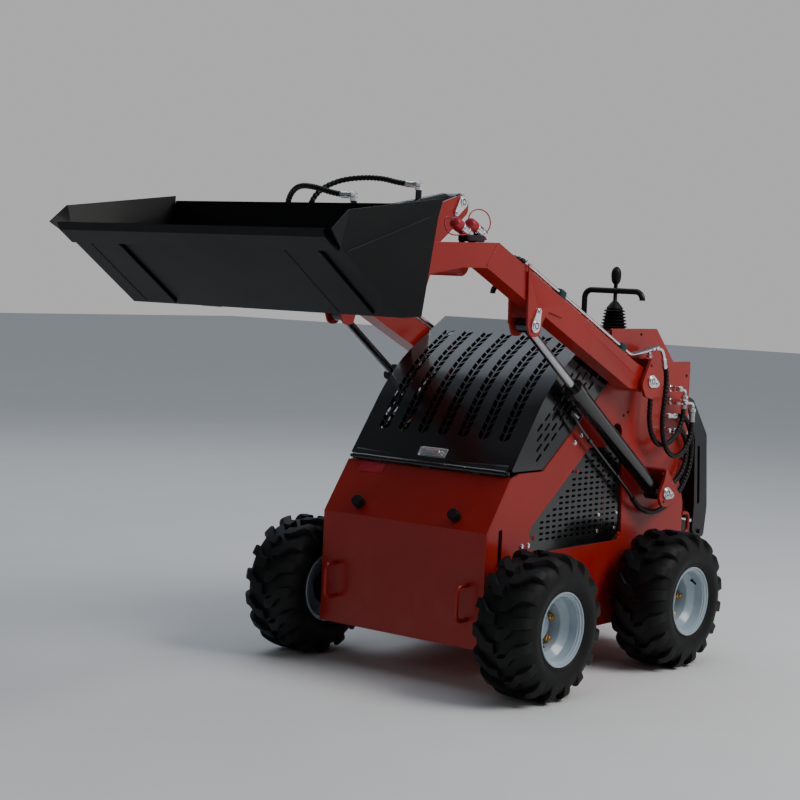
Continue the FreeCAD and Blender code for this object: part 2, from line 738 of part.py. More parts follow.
def arm_bridge():
    """Tube between the arms with the gooseneck plates that carry the tilt cylinder."""
    y, z = bridge_tube
    tube = cross_bar(y, z, bridge_tube_r, -arm_in, arm_in)
    ears = []
    ty, tz = tilt_base
    outline = [(ty + 32.0, tz + 34.0, 30.0), (ty + 32.0, tz - 34.0, 26.0), (ty - 116.0, tz - 138.0, 24.0),
               (ty - 150.0, tz - 160.0, 40.0), (y + 44.0, z - 16.0, 30.0), (y - 36.0, z - 32.0, 28.0), (y - 30.0, z + 44.0, 20.0),
               (ty - 175.0, tz - 122.0, 60.0), (ty - 126.0, tz - 62.0, 16.0), (ty - 110.0, tz - 8.0, 22.0)]
    for side in (-1, 1):
        x0, x1 = sorted((side * tilt_ear_gap, side * (tilt_ear_gap + ear_plate)))
        ears.append(plate_x(outline, x0, x1))
    a, b = (ty - 128.0, tz - 140.0), (ty - 60.0, tz - 84.0)
    angle = degrees(atan2(b[1] - a[1], b[0] - a[0]))
    web = plate_x([a, b, slide(b, angle, 0.0, 8.0), slide(a, angle, 0.0, 8.0)], -tilt_ear_gap, tilt_ear_gap)
    hole = cross_bar(ty, tz, pin_r, -60, 60)
    return fused(tube, *ears, web).cut(hole)


def cylinder(base, tip, centre_x, barrel_r, rod_r, length, eye_r, eye_width, inside):
    """Barrel and rod of one cylinder on the line from base to tip, in the plane X = centre_x."""
    foot = vec(centre_x, base[0], base[1])
    far = vec(centre_x, tip[0], tip[1])
    run = (far - foot).normalize()
    half = eye_width / 2
    barrel = bar(foot + run * 30.0, foot + run * (length - gland_length), barrel_r)
    gland = bar(foot + run * (length - gland_length), foot + run * length, barrel_r + gland_extra_r)
    eye = cross_bar(base[0], base[1], eye_r + 4.0, centre_x - half, centre_x + half)
    neck = bar(foot, foot + run * 40.0, eye_r - 2.0)
    bore = bar(foot + run * (inside - 10.0), foot + run * (length + 1.0), rod_r + rod_play)
    hole = cross_bar(base[0], base[1], pin_r + pin_play, centre_x - half - 1, centre_x + half + 1)
    barrel = fused(barrel, gland, eye, neck).cut([bore, hole])
    return barrel


def piston_rod(base, tip, centre_x, rod_r, start, eye_r, eye_width):
    """Chromed rod from start to its eye, with the pin's middle in the eye."""
    foot = vec(centre_x, base[0], base[1])
    far = vec(centre_x, tip[0], tip[1])
    run = (far - foot).normalize()
    half = eye_width / 2
    rod = bar(foot + run * start, far, rod_r)
    eye = cross_bar(tip[0], tip[1], eye_r, centre_x - half, centre_x + half)
    return fused(rod, eye)


def back_y(z):
    """The y of the bucket's back at height z, on its rear face."""
    share = (z - heel_rear[1]) / (back_top[1] - heel_rear[1])
    return heel_rear[0] + share * (back_top[0] - heel_rear[0])


def hitch():
    """Quick hitch: arm ears, face plates against the bucket, cross tubes and tilt ears."""
    pieces = []
    low_z, high_z = heel_rear[1] + 12.0, back_top[1] - 20.0
    for side in (-1, 1):
        x0, x1 = sorted((side * (arm_in - 34.0), side * (arm_out + 34.0)))
        face = [(back_y(low_z), low_z), (back_y(high_z), high_z), (back_y(high_z) + 12.0, high_z),
                (back_y(low_z) + 12.0, low_z)]
        pieces.append(plate_x(face, x0, x1))
        for x in (arm_in - arm_clear - 12.0, arm_out + arm_clear):
            a, b = sorted((side * x, side * (x + 12.0)))
            y, z = hitch_pin
            lug = [(back_y(low_z) + 10.0, low_z), (back_y(z + 150.0) + 10.0, z + 150.0), (y + 8.0, z + 42.0, 20.0),
                   (y + 34.0, z + 20.0, 24.0), (y + 30.0, z - 30.0, 26.0)]
            pieces.append(plate_x(lug, a, b).cut(cross_bar(y, z, pin_r, a - 1, b + 1)))
    for z, depth in ((1236.0, 46.0), (1330.0, 40.0)):
        y0 = back_y(z) + 14.0
        pieces.append(box(-(arm_in - arm_clear - 6.0), arm_in - arm_clear - 6.0, y0, y0 + depth, z - 20.0, z + 20.0))
    y, z = tilt_pin
    for side in (-1, 1):
        a, b = sorted((side * 33.0, side * 43.0))
        tab = [(back_y(1200) + 16.0, 1218.0), (back_y(1350) + 14.0, 1352.0), (y - 32.0, z - 4.0, 20.0), (y - 24.0, z + 30.0, 26.0),
               (y + 28.0, z + 30.0, 26.0), (y + 30.0, z - 34.0, 20.0), (back_y(1236) + 60.0, 1218.0)]
        pieces.append(plate_x(tab, a, b).cut(cross_bar(y, z, pin_r, a - 1, b + 1)))
    return fused(pieces[0], *pieces[1:])


def hitch_pins():
    y, z = hitch_pin
    pins = []
    for side in (-1, 1):
        a, b = sorted((side * (arm_in - arm_clear - 18.0), side * (arm_out + arm_clear + 18.0)))
        pins.append(cross_bar(y, z, pin_r, a, b))
    return pins


def bucket():
    """Light material bucket: floor, heel and back from one bent sheet, and two flared ends."""
    slope = degrees(atan2(heel[1] - lip[1], heel[0] - lip[0]))
    line = [slide(lip, slope, 6.0), heel, heel_rear, back_top]
    shell = plate_x(strip(line, bucket_sheet), -bucket_half, bucket_half)
    low_front = slide(lip, slope, edge_length)
    s = bucket_sheet
    sides = []
    x = bucket_half
    flare = bucket_flare
    lower = plate_x([low_front, heel, heel_rear, back_top_side()], x, x + s)
    pts = [(low_front, 0.0), (lip, flare), ((-1441.0, 1448.0), flare), ((-1024.0, 1500.0), flare * 0.3), (back_top_side(), 0.0)]
    # The flared upper part is three flat facets that share the bend line
    a, b, c, d, e = [vec(x + f, y, z) for (y, z), f in pts]
    upper = []
    for tri in ((a, b, c), (a, c, d), (a, d, e)):
        face = Part.Face(Part.makePolygon([tri[0], tri[1], tri[2], tri[0]]))
        upper.append(face.extrude(vec(s, 0, 0)))
    end = fused(lower, *upper)
    return fused(shell, *both(end))


def back_top_side():
    return (back_y(1450.0), 1450.0)


def bucket_edge():
    """Cutting edge: a thicker plate under the floor's front."""
    slope = degrees(atan2(heel[1] - lip[1], heel[0] - lip[0]))
    stop = slide(lip, slope, edge_length)
    half = bucket_half - 1.0
    return plate_x([lip, stop, slide(stop, slope, 0.0, -edge_thick), slide(lip, slope, 22.0, -edge_thick)], -half, half)


def bucket_skids():
    """Two wear bars under the bucket's floor."""
    slope = degrees(atan2(heel[1] - lip[1], heel[0] - lip[0]))
    a = slide(lip, slope, edge_length + 4.0)
    b = slide(heel, slope, -14.0)
    plate = [a, b, slide(b, slope, 0.0, -skid_thick), slide(a, slope, 0.0, -skid_thick)]
    return both(plate_x(plate, skid_in, skid_out))


# Hoses beside the left tower wall, from their fittings: name, plane, fitting's legs, hose's route, as (y, z)
hose_table = (
    ("hose_to_arm_front", 1, ((568.0, 931.0), (612.0, 925.0), (607.0, 866.0)),
     ((602.7, 815.0), (557.0, 760.0), (497.0, 738.0), (441.0, 741.0), (397.0, 776.0), (377.0, 831.0), (380.0, 893.0),
      (373.0, 950.0))),
    ("hose_to_arm_rear", 2, ((573.0, 886.0), (636.0, 880.0), (634.0, 820.0)),
     ((632.13, 764.0), (594.0, 714.0), (536.0, 694.0), (479.0, 713.0), (442.0, 762.0), (430.0, 825.0), (436.0, 880.0),
      (441.0, 930.0))),
    ("hose_to_lift_far", 0, ((531.0, 837.0), (600.0, 833.0)),
     ((655.0, 829.8), (694.0, 787.0), (712.0, 732.0), (711.0, 674.0), (692.0, 619.0), (654.0, 575.0), (603.0, 545.0),
      (546.0, 526.0), (486.0, 516.0), (428.0, 518.0))),
    ("hose_to_lift_near", 0, ((540.0, 784.0), (585.0, 782.7)),
     ((642.0, 781.05), (676.0, 735.0), (676.0, 677.0), (648.0, 626.0), (600.0, 597.0), (549.0, 586.0),
      (513.0, 583.0))),
)


def bulkhead_fittings():
    """Four hose fittings through the left tower wall, each with the leg that its hose is crimped on."""
    pieces = []
    for name, plane, legs, route in hose_table:
        x = half_body + hose_planes[plane]
        y, z = legs[0]
        points = [vec(x, *leg) for leg in legs]
        leg = bent_bar(points, leg_r, leg_bend) if len(points) > 2 else bar(points[0], points[1], leg_r)
        stem = cross_bar(y, z, fitting_r, half_body, x + leg_r + 2.0)
        pieces.append(fused(stem, cross_bar(y, z, fitting_r + 3.0, half_body, half_body + 7.0), leg))
    return pieces


def hose(plane, legs, route):
    """One hose beside the tower, each bend as wide as its runs allow."""
    x = half_body + hose_planes[plane]
    points = [vec(x, *point) for point in legs[-1:] + route]
    edges = []
    start = points[0]
    for before, corner, following in zip(points, points[1:], points[2:]):
        a, b = before - corner, following - corner
        reach = 0.45 * min(a.Length, b.Length)
        a, b = a.normalize(), b.normalize()
        half = a.getAngle(b) / 2
        bend = reach * tan(half)
        radii.append(bend)
        middle = (a + b).normalize() * (bend / sin(half) - bend)
        p0, p1 = corner + a * reach, corner + b * reach
        edges.append(Part.LineSegment(start, p0).toShape())
        edges.append(Part.Arc(p0, corner + middle, p1).toShape())
        start = p1
    edges.append(Part.LineSegment(start, points[-1]).toShape())
    section = Part.Wire([Part.makeCircle(hose_r, points[0], points[1] - points[0])])
    return Part.Wire(edges).makePipeShell([section], True, False)


def faceted_ring(profile, count):
    """Closed ring about X with count flat facets round it; profile holds (radius, x) corners."""
    rows = []
    for r, x in profile:
        rows.append([vec(x, r * sin(2 * pi * i / count), r * cos(2 * pi * i / count)) for i in range(count)])
    faces = []
    for low, high in zip(rows, rows[1:] + rows[:1]):
        for i in range(count):
            j = (i + 1) % count
            faces.append(Part.Face(Part.makePolygon([low[i], low[j], high[j], high[i], low[i]])))
    return Part.Solid(Part.makeShell(faces))


def lug():
    """Kinked lug of the left half at the top of the wheel: flat top, sloping shoulder."""
    r_out = tyre_od / 2
    half = tyre_width / 2
    w = lug_width / 2
    end_x = half + 8.0
    slope = (lug_outer_lead + 6.0 - lug_kink_lead) / (end_x - lug_kink_x)
    flat_x = lug_flat_share * half
    top_lead = lug_kink_lead + slope * (flat_x - lug_kink_x)
    middle = top_lead / 2
    flat = (r_out ** 2 - (middle + w) ** 2) ** 0.5
    path = [(lug_inner_x, 0.0), (lug_kink_x, lug_kink_lead), (end_x, lug_outer_lead + 6.0)]
    plan = [(x, s - w - middle) for x, s in path] + [(x, s + w - middle) for x, s in path[::-1]]
    wire = Part.makePolygon([vec(x, s, 0) for x, s in plan + plan[:1]])
    block = Part.Face(wire).extrude(vec(0, 0, tyre_od))
    foot = flat - 3.2 * lug_height
    crown = [(0.0, foot), (half, flat - lug_shoulder_drop), (flat_x, flat), (0.0, flat)]
    wire = Part.makePolygon([vec(x, -tyre_od, r) for x, r in crown + crown[:1]])
    block = block.common(Part.Face(wire).extrude(vec(0, 2 * tyre_od, 0)))
    block.rotate(vec(0, 0, 0), vec(1, 0, 0), -degrees(middle / r_out))
    return block


def tyre():
    """One tyre about the origin, its axle along X: carcass and two staggered rings of lugs."""
    r_base = tyre_od / 2 - lug_height
    half = tyre_width / 2
    r_in = rim_od / 2 - rim_seat_drop + bead_gap
    bead = rim_width / 2 - rim_wall - bead_gap
    flats = cos(pi / tyre_facets)
    profile = [(r_in / flats, -bead), (r_in + tyre_bead_height, -bead), (0.84 * r_base, -half), (r_base, -0.66 * half)]
    profile += [(r, -x) for r, x in profile[::-1]]
    carcass = faceted_ring(profile, tyre_facets)
    left_lug = lug()
    right_lug = left_lug.mirror(vec(0, 0, 0), vec(1, 0, 0))
    pitch = 360.0 / lug_count
    lugs = []
    for i in range(lug_count):
        for one, stagger in ((left_lug, 0.0), (right_lug, 0.5)):
            copy = one.copy()
            copy.rotate(vec(0, 0, 0), vec(1, 0, 0), pitch * (i + stagger))
            lugs.append(copy)
    shape = carcass.fuse(lugs)
    tip = max(shape.Vertexes, key=lambda v: hypot(v.Y, v.Z))
    shape.rotate(vec(0, 0, 0), vec(1, 0, 0), degrees(atan2(tip.Y, -tip.Z)))
    return shape


def rim():
    """Steel rim about the origin: flanges, bead seats, drop centre, deep disc and hub."""
    w = rim_width / 2
    r = rim_od / 2
    seat = r - rim_seat_drop
    drop = r - 38.0
    t = rim_wall
    profile = [(r, w), (r, w - t), (seat, w - t), (seat, w - 40.0), (drop, w - 60.0), (drop, -w + 60.0),
               (seat, -w + 40.0), (seat, -w + t), (r, -w + t), (r, -w), (seat - t, -w), (seat - t, -w + 38.0),
               (drop - t, -w + 58.0), (drop - t, w - rim_dish - t), (0.0, w - rim_dish - t), (0.0, w - rim_dish), (drop - t, w - rim_dish),
               (drop - t, w - 58.0), (seat - t, w - 38.0), (seat - t, w)]
    wire = Part.makePolygon([vec(x, q, 0) for q, x in profile + [profile[0]]])
    shell = Part.Face(wire).revolve(vec(0, 0, 0), vec(1, 0, 0), 360)
    hub = Part.makeCylinder(42.0, 40.0, vec(w - rim_dish - t - 40.0, 0, 0), vec(1, 0, 0))
    cap = Part.makeCylinder(30.0, 22.0, vec(w - rim_dish, 0, 0), vec(1, 0, 0))
    bore = Part.makeCylinder(stub_r + stub_play, 36.0, vec(w - rim_dish - t - 41.0, 0, 0), vec(1, 0, 0))
    return fused(shell, hub, cap).cut(bore)


def axle(y):
    """Two wheel motors and the beam that joins them through the chassis."""
    face = track / 2 + rim_width / 2 - rim_dish - rim_wall - 40.0 - motor_gap
    root = half_body - 60.0
    motor = cross_bar(y, axle_z, motor_r, root, face).fuse(cross_bar(y, axle_z, stub_r, face, face + 32.0))
    beam = box(-root, root, y - axle_beam, y + axle_beam, belly_z + sheet, axle_z + axle_beam)
    return fused(beam, *both(motor))


def rear_platform():
    """Fold-up platform: two bent side arms with long slots, and the tread plate between them."""
    y, z = platform_pivot
    arm_line = [(y - 20.0, z - 24.0, 16.0), (y + 36.0, z - 21.0, 16.0), (y + 51.0, z + 91.0, 60.0), (y + 22.0, z + 357.0, 40.0),
                (y - 85.0, z + 484.0, 12.0), (y - 124.0, z + 499.0, 8.0), (y - 128.0, z + 470.0, 8.0),
                (y - 62.0, z + 340.0, 40.0), (y - 44.0, z + 91.0, 60.0), (y - 50.0, z + 10.0, 16.0)]
    arms = []
    for x0 in (platform_half, -platform_half - platform_arm):
        arm_plate = plate_x(arm_line, x0, x0 + platform_arm)
        slots = [slot_x((y - 14.0, z + 110.0), (y - 32.0, z + 310.0), 8.0, x0 - 1, x0 + platform_arm + 1)]
        arms.append(arm_plate.cut(slots + [cross_bar(y, z, 8.0 + pin_play, x0 - 1, x0 + platform_arm + 1)]))
    tread = plate_x([(y + 14.0, z + 40.0), (y + 28.0, z + 90.0), (y + 8.0, z + 350.0), (y + 2.0, z + 350.0), (y + 20.0, z + 90.0), (y + 8.0, z + 40.0)],
                    -platform_half, platform_half)
    return fused(arms[0], arms[1], tread)


def platform_brackets():
    """Plates from the tower's back to the platform's two pivot bolts."""
    y, z = platform_pivot
    brackets = []
    for side in (-1, 1):
        a, b = sorted((side * (platform_half - 11.0), side * (platform_half - 1.0)))
        plate = plate_x([(rear_y - 15.0, z - 40.0), (y + 6.0, z - 24.0, 20.0), (y + 24.0, z + 6.0, 20.0), (y, z + 26.0, 20.0),
                         (rear_y - 15.0, z + 70.0)], a, b)
        bolt = cross_bar(y, z, 8.0, *sorted((side * (platform_half - 20.0), side * (platform_half + platform_arm + 8.0))))
        brackets.append(plate.fuse(bolt))
    return brackets


radii = []
left = side_plate()
save("side_plate_left", left)
save("side_plate_right", other_side(left))
save("nose_panel", nose_panel())
save("nose_shelf", nose_shelf())
save("hood_hinge_bar", hinge_bar())
save("belly_pan", belly_pan())
save("tie_down_loops", Part.makeCompound(tie_loops()))
save("hood_stops", Part.makeCompound(hood_stops()))
save("hood", hood())
grille = side_grille()
save("side_grille_left", grille)
save("side_grille_right", other_side(grille))
save("engine_block", engine_block())
save("console_shell", console())
save("joysticks", Part.makeCompound(joysticks()))
save("hand_guards", Part.makeCompound(hand_guards()))
ears, pins = side_bracket()
save("pivot_ears_left", Part.makeCompound(ears))
save("pivot_ears_right", Part.makeCompound([other_side(e) for e in ears]))
save("pivot_pins", Part.makeCompound(pins + [other_side(p) for p in pins]))
left_arm = arm()
save("lift_arm_left", left_arm)
save("lift_arm_right", other_side(left_arm))
save("arm_bridge", arm_bridge())
ear_x = tilt_ear_gap + ear_plate
tilt_keeper = keeper(tilt_base, (tilt_base[0] - 32.0, tilt_base[1] - 36.0), ear_x)
save("tilt_base_pin", fused(cross_bar(*tilt_base, pin_r, -ear_x - 4.0, ear_x + keeper_thick + 2.0), tilt_keeper))

barrel = cylinder(lift_base, lift_pin, arm_mid, lift_barrel_r, lift_rod_r, lift_barrel_length, lift_eye_r, 50.0, 150.0)
rod = piston_rod(lift_base, lift_pin, arm_mid, lift_rod_r, 390.0, lift_eye_r, lift_eye_width)
save("lift_barrel_left", barrel)
save("lift_barrel_right", other_side(barrel))
save("lift_rod_left", rod)
save("lift_rod_right", other_side(rod))
save("tilt_barrel", cylinder(tilt_base, tilt_pin, 0.0, tilt_barrel_r, tilt_rod_r, tilt_barrel_length, 24.0, 78.0, 62.0))
save("tilt_rod", piston_rod(tilt_base, tilt_pin, 0.0, tilt_rod_r, 140.0, tilt_eye_r, tilt_eye_width))

save("quick_hitch", hitch())
save("hitch_pins", Part.makeCompound(hitch_pins()))
save("bucket", bucket())
save("bucket_edge", bucket_edge())
save("bucket_skids", Part.makeCompound(bucket_skids()))
save("arm_hard_tubes", Part.makeCompound(both(arm_tubes())))
save("aux_couplers", aux_couplers())
save("bulkhead_fittings", Part.makeCompound(bulkhead_fittings()))
for name, plane, legs, route in hose_table:
    save(name, hose(plane, legs, route))
print("hose bend radii from", round(min(radii)), "to", round(max(radii)))

one_tyre, one_rim = tyre(), rim()
for end, y in (("front", -wheel_base / 2), ("rear", wheel_base / 2)):
    for side, sign in (("left", 1), ("right", -1)):
        for name, piece in (("tyre", one_tyre), ("rim", one_rim)):
            shape = piece if sign > 0 else other_side(piece)
            shape = shape.copy()
            shape.translate(vec(sign * track / 2, y, axle_z))
            save(name + "_" + end + "_" + side, shape)
    save("axle_" + end, axle(y))
save("rear_platform", rear_platform())
save("platform_brackets", Part.makeCompound(platform_brackets()))
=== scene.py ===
import json
from math import cos, pi, radians, sin

import bmesh
import bpy
import numpy as np
from mathutils import Matrix, Vector


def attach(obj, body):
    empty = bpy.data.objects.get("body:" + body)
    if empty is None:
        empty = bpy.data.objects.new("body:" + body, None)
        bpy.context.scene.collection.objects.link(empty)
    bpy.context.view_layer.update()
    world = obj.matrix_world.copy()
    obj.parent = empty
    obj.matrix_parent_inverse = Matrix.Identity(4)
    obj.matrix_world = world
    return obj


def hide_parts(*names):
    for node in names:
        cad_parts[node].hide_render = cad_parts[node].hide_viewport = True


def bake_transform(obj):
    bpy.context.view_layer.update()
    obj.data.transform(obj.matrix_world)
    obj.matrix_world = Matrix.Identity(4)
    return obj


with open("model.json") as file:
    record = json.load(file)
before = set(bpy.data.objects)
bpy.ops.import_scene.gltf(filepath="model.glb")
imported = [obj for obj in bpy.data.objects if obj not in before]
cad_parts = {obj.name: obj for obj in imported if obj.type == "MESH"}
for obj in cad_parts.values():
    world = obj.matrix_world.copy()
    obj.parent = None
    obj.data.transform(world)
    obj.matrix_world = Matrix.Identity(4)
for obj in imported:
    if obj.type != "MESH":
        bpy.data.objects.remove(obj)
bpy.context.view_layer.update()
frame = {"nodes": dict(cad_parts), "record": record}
nodes = frame["nodes"]
slot_of = {row["node"]: row["material_slot"] for row in frame["record"]["subparts"]}
bodies = frame["record"]["behaviour"]["bodies"]
body_of = {node: body for body, members in bodies.items() for node in members}

# Camera, floor and light
# The photo was taken from ahead of the machine and to its left, a little above the hood. A pale
# floor, a dim sky for the paint to reflect, a plain backdrop for the camera, and four soft lamps.

# Places are in millimetres from the floor midway between the axles; the frame's y is shift_y more
shift_y = 287.5
camera_place = Vector((3.5884, -5.0008 + shift_y / 1000.0, 1.2889))
camera_azimuth, camera_pitch, camera_roll = radians(38.699), radians(3.950), radians(-2.470)
focal_px = 1823.2
image_px = 800.0
sensor_mm = 36.0

camera = bpy.data.objects.new("camera", bpy.data.cameras.new("camera"))
bpy.context.scene.collection.objects.link(camera)
bpy.context.scene.camera = camera
camera.data.sensor_width = sensor_mm
camera.data.lens = focal_px / image_px * sensor_mm
ahead = Vector((-sin(camera_azimuth) * cos(camera_pitch), cos(camera_azimuth) * cos(camera_pitch),
                -sin(camera_pitch)))
right = Vector((cos(camera_azimuth), sin(camera_azimuth), 0.0))
up = right.cross(ahead)
right_rolled = right * cos(camera_roll) - up * sin(camera_roll)
up_rolled = right * sin(camera_roll) + up * cos(camera_roll)
turn = Matrix((right_rolled, up_rolled, -ahead)).transposed()
camera.matrix_world = Matrix.Translation(camera_place) @ turn.to_4x4()


class Value:
    """A number or colour that a shader works out. Plain operators on it add Math nodes."""

    def __init__(self, finish, socket):
        self.finish, self.socket = finish, socket

    def maths(self, operation, *others):
        """Math node on this value and the others."""
        sockets = dict(enumerate((self,) + others))
        return self.finish.node("ShaderNodeMath", {"operation": operation}, sockets)

    def __add__(self, other):
        return self.maths("ADD", other)

    def __mul__(self, other):
        return self.maths("MULTIPLY", other)

    def __sub__(self, other):
        return self.maths("SUBTRACT", other)

    def __rsub__(self, other):
        return self.finish.node("ShaderNodeMath", {"operation": "SUBTRACT"}, {0: other, 1: self})

    __radd__, __rmul__ = __add__, __mul__

    def between(self, low, high):
        """0 below low, 1 above high, and smooth from one to the other."""
        return self.finish.node("ShaderNodeMapRange", {"interpolation_type": "SMOOTHSTEP"},
                                {"Value": self, "From Min": low, "From Max": high})


class Finish:
    """One material: its node tree and its Principled shader."""

    def __init__(self, name):
        self.material = bpy.data.materials.new(name)
        self.material.use_nodes = True
        self.tree = self.material.node_tree
        self.shader = self.tree.nodes["Principled BSDF"]

    def node(self, kind, settings=None, sockets=None, output=0):
        """Adds a node, sets its settings, then fills its sockets with numbers or Values."""
        made = self.tree.nodes.new(kind)
        for key, value in (settings or {}).items():
            setattr(made, key, value)
        for key, value in (sockets or {}).items():
            if isinstance(value, Value):
                self.tree.links.new(value.socket, made.inputs[key])
            else:
                made.inputs[key].default_value = value
        return Value(self, made.outputs[output])

    def noise(self, scale, detail=3.0, roughness=0.55, stretch=(1.0, 1.0, 1.0)):
        """Soft noise from 0 to 1; scale counts its patches in a metre."""
        place = self.node("ShaderNodeTexCoord", output="Object")
        place = self.node("ShaderNodeMapping", {}, {"Vector": place, "Scale": stretch})
        return self.node("ShaderNodeTexNoise", {}, {"Vector": place, "Scale": scale, "Detail": detail,
                                                    "Roughness": roughness})

    def place(self, axis):
        """Metres from the frame's origin at rest along x, y or z, given as 0, 1 or 2."""
        place = self.node("ShaderNodeTexCoord", output="Object")
        return self.node("ShaderNodeSeparateXYZ", {}, {0: place}, output=axis)

    def blend(self, share, low, high):
        """Colour low where share is 0 and high where it is 1, by the colour sockets of a mix node."""
        return self.node("ShaderNodeMix", {"data_type": "RGBA"}, {0: share, 6: low, 7: high}, output=2)

    def bump(self, height, depth, strength, under=None):
        """Relief in the shading only: a height from 0 to 1, depth metres deep, over another relief."""
        sockets = {"Height": height, "Distance": depth, "Strength": strength}
        if under is not None:
            sockets["Normal"] = under
        return self.node("ShaderNodeBump", {}, sockets)

    def shade(self, **sockets):
        """Fills the shader's own sockets; an underscore in a name stands for a space."""
        for key, value in sockets.items():
            socket = self.shader.inputs[key.replace("_", " ")]
            if isinstance(value, Value):
                self.tree.links.new(value.socket, socket)
            else:
                socket.default_value = value
        return self.material


def tone(red, green, blue):
    """Opaque colour from linear red, green and blue."""
    return (red, green, blue, 1.0)


floor_edge = 30.0
floor_drop = 0.0005
floor_finish = Finish("studio_floor")
pale, paler = tone(0.80, 0.80, 0.79), tone(0.86, 0.86, 0.85)
floor_shade = floor_finish.blend(floor_finish.noise(3.0, 4.0), pale, paler)
floor_finish.shade(Base_Color=floor_shade, Roughness=0.75, Specular_IOR_Level=0.2)
floor_mesh = bpy.data.meshes.new("studio_floor")
corners = [(x * floor_edge, y * floor_edge, 0.0) for x, y in ((-1, -1), (1, -1), (1, 1), (-1, 1))]
floor_mesh.from_pydata(corners, [], [(0, 1, 2, 3)])
floor = bpy.data.objects.new("studio_floor", floor_mesh)
floor.location.z = -floor_drop
bpy.context.scene.collection.objects.link(floor)
floor.data.materials.append(floor_finish.material)

# Sky brightness by height: the share is half at the horizon and 1 straight up
sky_stops = [(0.0, tone(0.30, 0.30, 0.30)), (0.505, tone(0.28, 0.28, 0.28)),
             (0.54, tone(0.10, 0.10, 0.105)), (0.70, tone(0.07, 0.075, 0.08)),
             (0.86, tone(0.10, 0.11, 0.12)), (1.0, tone(0.80, 0.88, 1.0))]
backdrop_grey = 0.50
world = bpy.data.worlds.new("studio")
bpy.context.scene.world = world
world.use_nodes = True
sky_nodes = world.node_tree
direction = sky_nodes.nodes.new("ShaderNodeTexCoord")
split = sky_nodes.nodes.new("ShaderNodeSeparateXYZ")
to_share = sky_nodes.nodes.new("ShaderNodeMapRange")
to_share.inputs["From Min"].default_value = -1.0
ramp = sky_nodes.nodes.new("ShaderNodeValToRGB")
while len(ramp.color_ramp.elements) < len(sky_stops):
    ramp.color_ramp.elements.new(0.5)
for element, (place, colour) in zip(ramp.color_ramp.elements, sky_stops):
    element.position, element.color = place, colour
sky_nodes.links.new(direction.outputs["Generated"], split.inputs[0])
sky_nodes.links.new(split.outputs["Z"], to_share.inputs["Value"])
sky_nodes.links.new(to_share.outputs[0], ramp.inputs[0])
# The camera sees a plain pale backdrop, while the machine reflects the sky. The numbers are the
# colour sockets of the mix node.
seen = sky_nodes.nodes.new("ShaderNodeLightPath")
plain = sky_nodes.nodes.new("ShaderNodeMix")
plain.data_type = "RGBA"
plain.inputs[7].default_value = tone(backdrop_grey, backdrop_grey, backdrop_grey)
sky_nodes.links.new(seen.outputs["Is Camera Ray"], plain.inputs[0])
sky_nodes.links.new(ramp.outputs[0], plain.inputs[6])
sky_nodes.links.new(plain.outputs[2], sky_nodes.nodes["Background"].inputs["Color"])
sky_nodes.nodes["Background"].inputs["Strength"].default_value = 1.0


def lamp(name, place, target, size, power, colour):
    """Large square soft lamp at place, turned to target."""
    light = bpy.data.lights.new(name, "AREA")
    light.size, light.energy, light.color = size, power, colour
    holder = bpy.data.objects.new(name, light)
    bpy.context.scene.collection.objects.link(holder)
    holder.location = place
    holder.rotation_euler = (Vector(target) - Vector(place)).to_track_quat("-Z", "Y").to_euler()
    holder.visible_camera = False


lamp("key", (4.5, 1.5, 4.8), (0.0, 0.2, 0.7), 3.0, 230.0, (1.0, 0.98, 0.95))
lamp("back", (-4.7, 2.9, 5.6), (0.0, 0.1, 0.8), 5.0, 85.0, (0.80, 0.90, 1.0))
lamp("side", (3.9, 6.2, 1.8), (0.4, 0.2, 0.9), 3.0, 20.0, (1.0, 1.0, 1.0))
lamp("front", (1.0, -6.0, 3.2), (0.0, -0.4, 0.5), 3.0, 16.0, (1.0, 1.0, 1.0))

# Painted plates of the chassis
# Side plates, nose, belly, tower and pivot ears are mild steel plate, cut, folded and welded,
# then sprayed in one orange-red. Every cut edge is a little rounded under its paint.
finishes = {}
engine_side = (0.3246, 0.3256)
engine_back = (0.470, 0.474)
dust_tone, speck_tone = tone(0.16, 0.13, 0.10), tone(0.22, 0.19, 0.17)
# Near black for the painted shade on the inner faces of the plates
inside_shade_tone = tone(0.004, 0.004, 0.004)


def paint_finish(name, colour, deep, rough, dust=0.25, coat=0.3, gloss=0.5, shade_inside=False):
    """Sprayed paint: orange peel, slow changes of shade, and dust low down, in patches and in streaks.
    With the inside flag set, the faces inside the plates and ahead of the tower, facing the engine, are
    painted shade in near black."""
    f = Finish(name)
    cloud = f.noise(2.2, 5.0).between(0.35, 0.7)
    base = f.blend(cloud, deep, colour)
    low = 1.0 - f.place(2).between(0.0, 0.6)
    patch = f.noise(9.0, 6.0, 0.7).between(0.45, 0.75)
    streak = f.noise(26.0, 3.0, 0.6, stretch=(1.0, 1.0, 0.08)).between(0.5, 0.8)
    dirt = (low * 0.8 + 0.15) * (patch * 0.7 + streak * 0.5) * dust
    base = f.blend(dirt, base, dust_tone)
    specks = f.noise(210.0, 2.0, 0.6).between(0.74, 0.8) * dust
    base = f.blend(specks, base, speck_tone)
    # Painted shade: near black on faces inside the plates and ahead of the tower's back
    if shade_inside:
        inside = 1.0 - f.place(0).maths("ABSOLUTE").between(*engine_side)
        inside = inside * (1.0 - f.place(1).between(*engine_back))
        base = f.blend(inside, base, inside_shade_tone)
    peel = f.bump(f.noise(420.0, 2.0), 0.00012, 0.3, under=f.bump(f.noise(7.0, 1.0), 0.004, 0.12))
    finishes[name] = f.shade(Base_Color=base, Roughness=dirt * 0.5 + cloud * 0.06 + rough, Normal=peel,
                             Coat_Weight=coat, Coat_Roughness=0.1, Specular_IOR_Level=gloss)


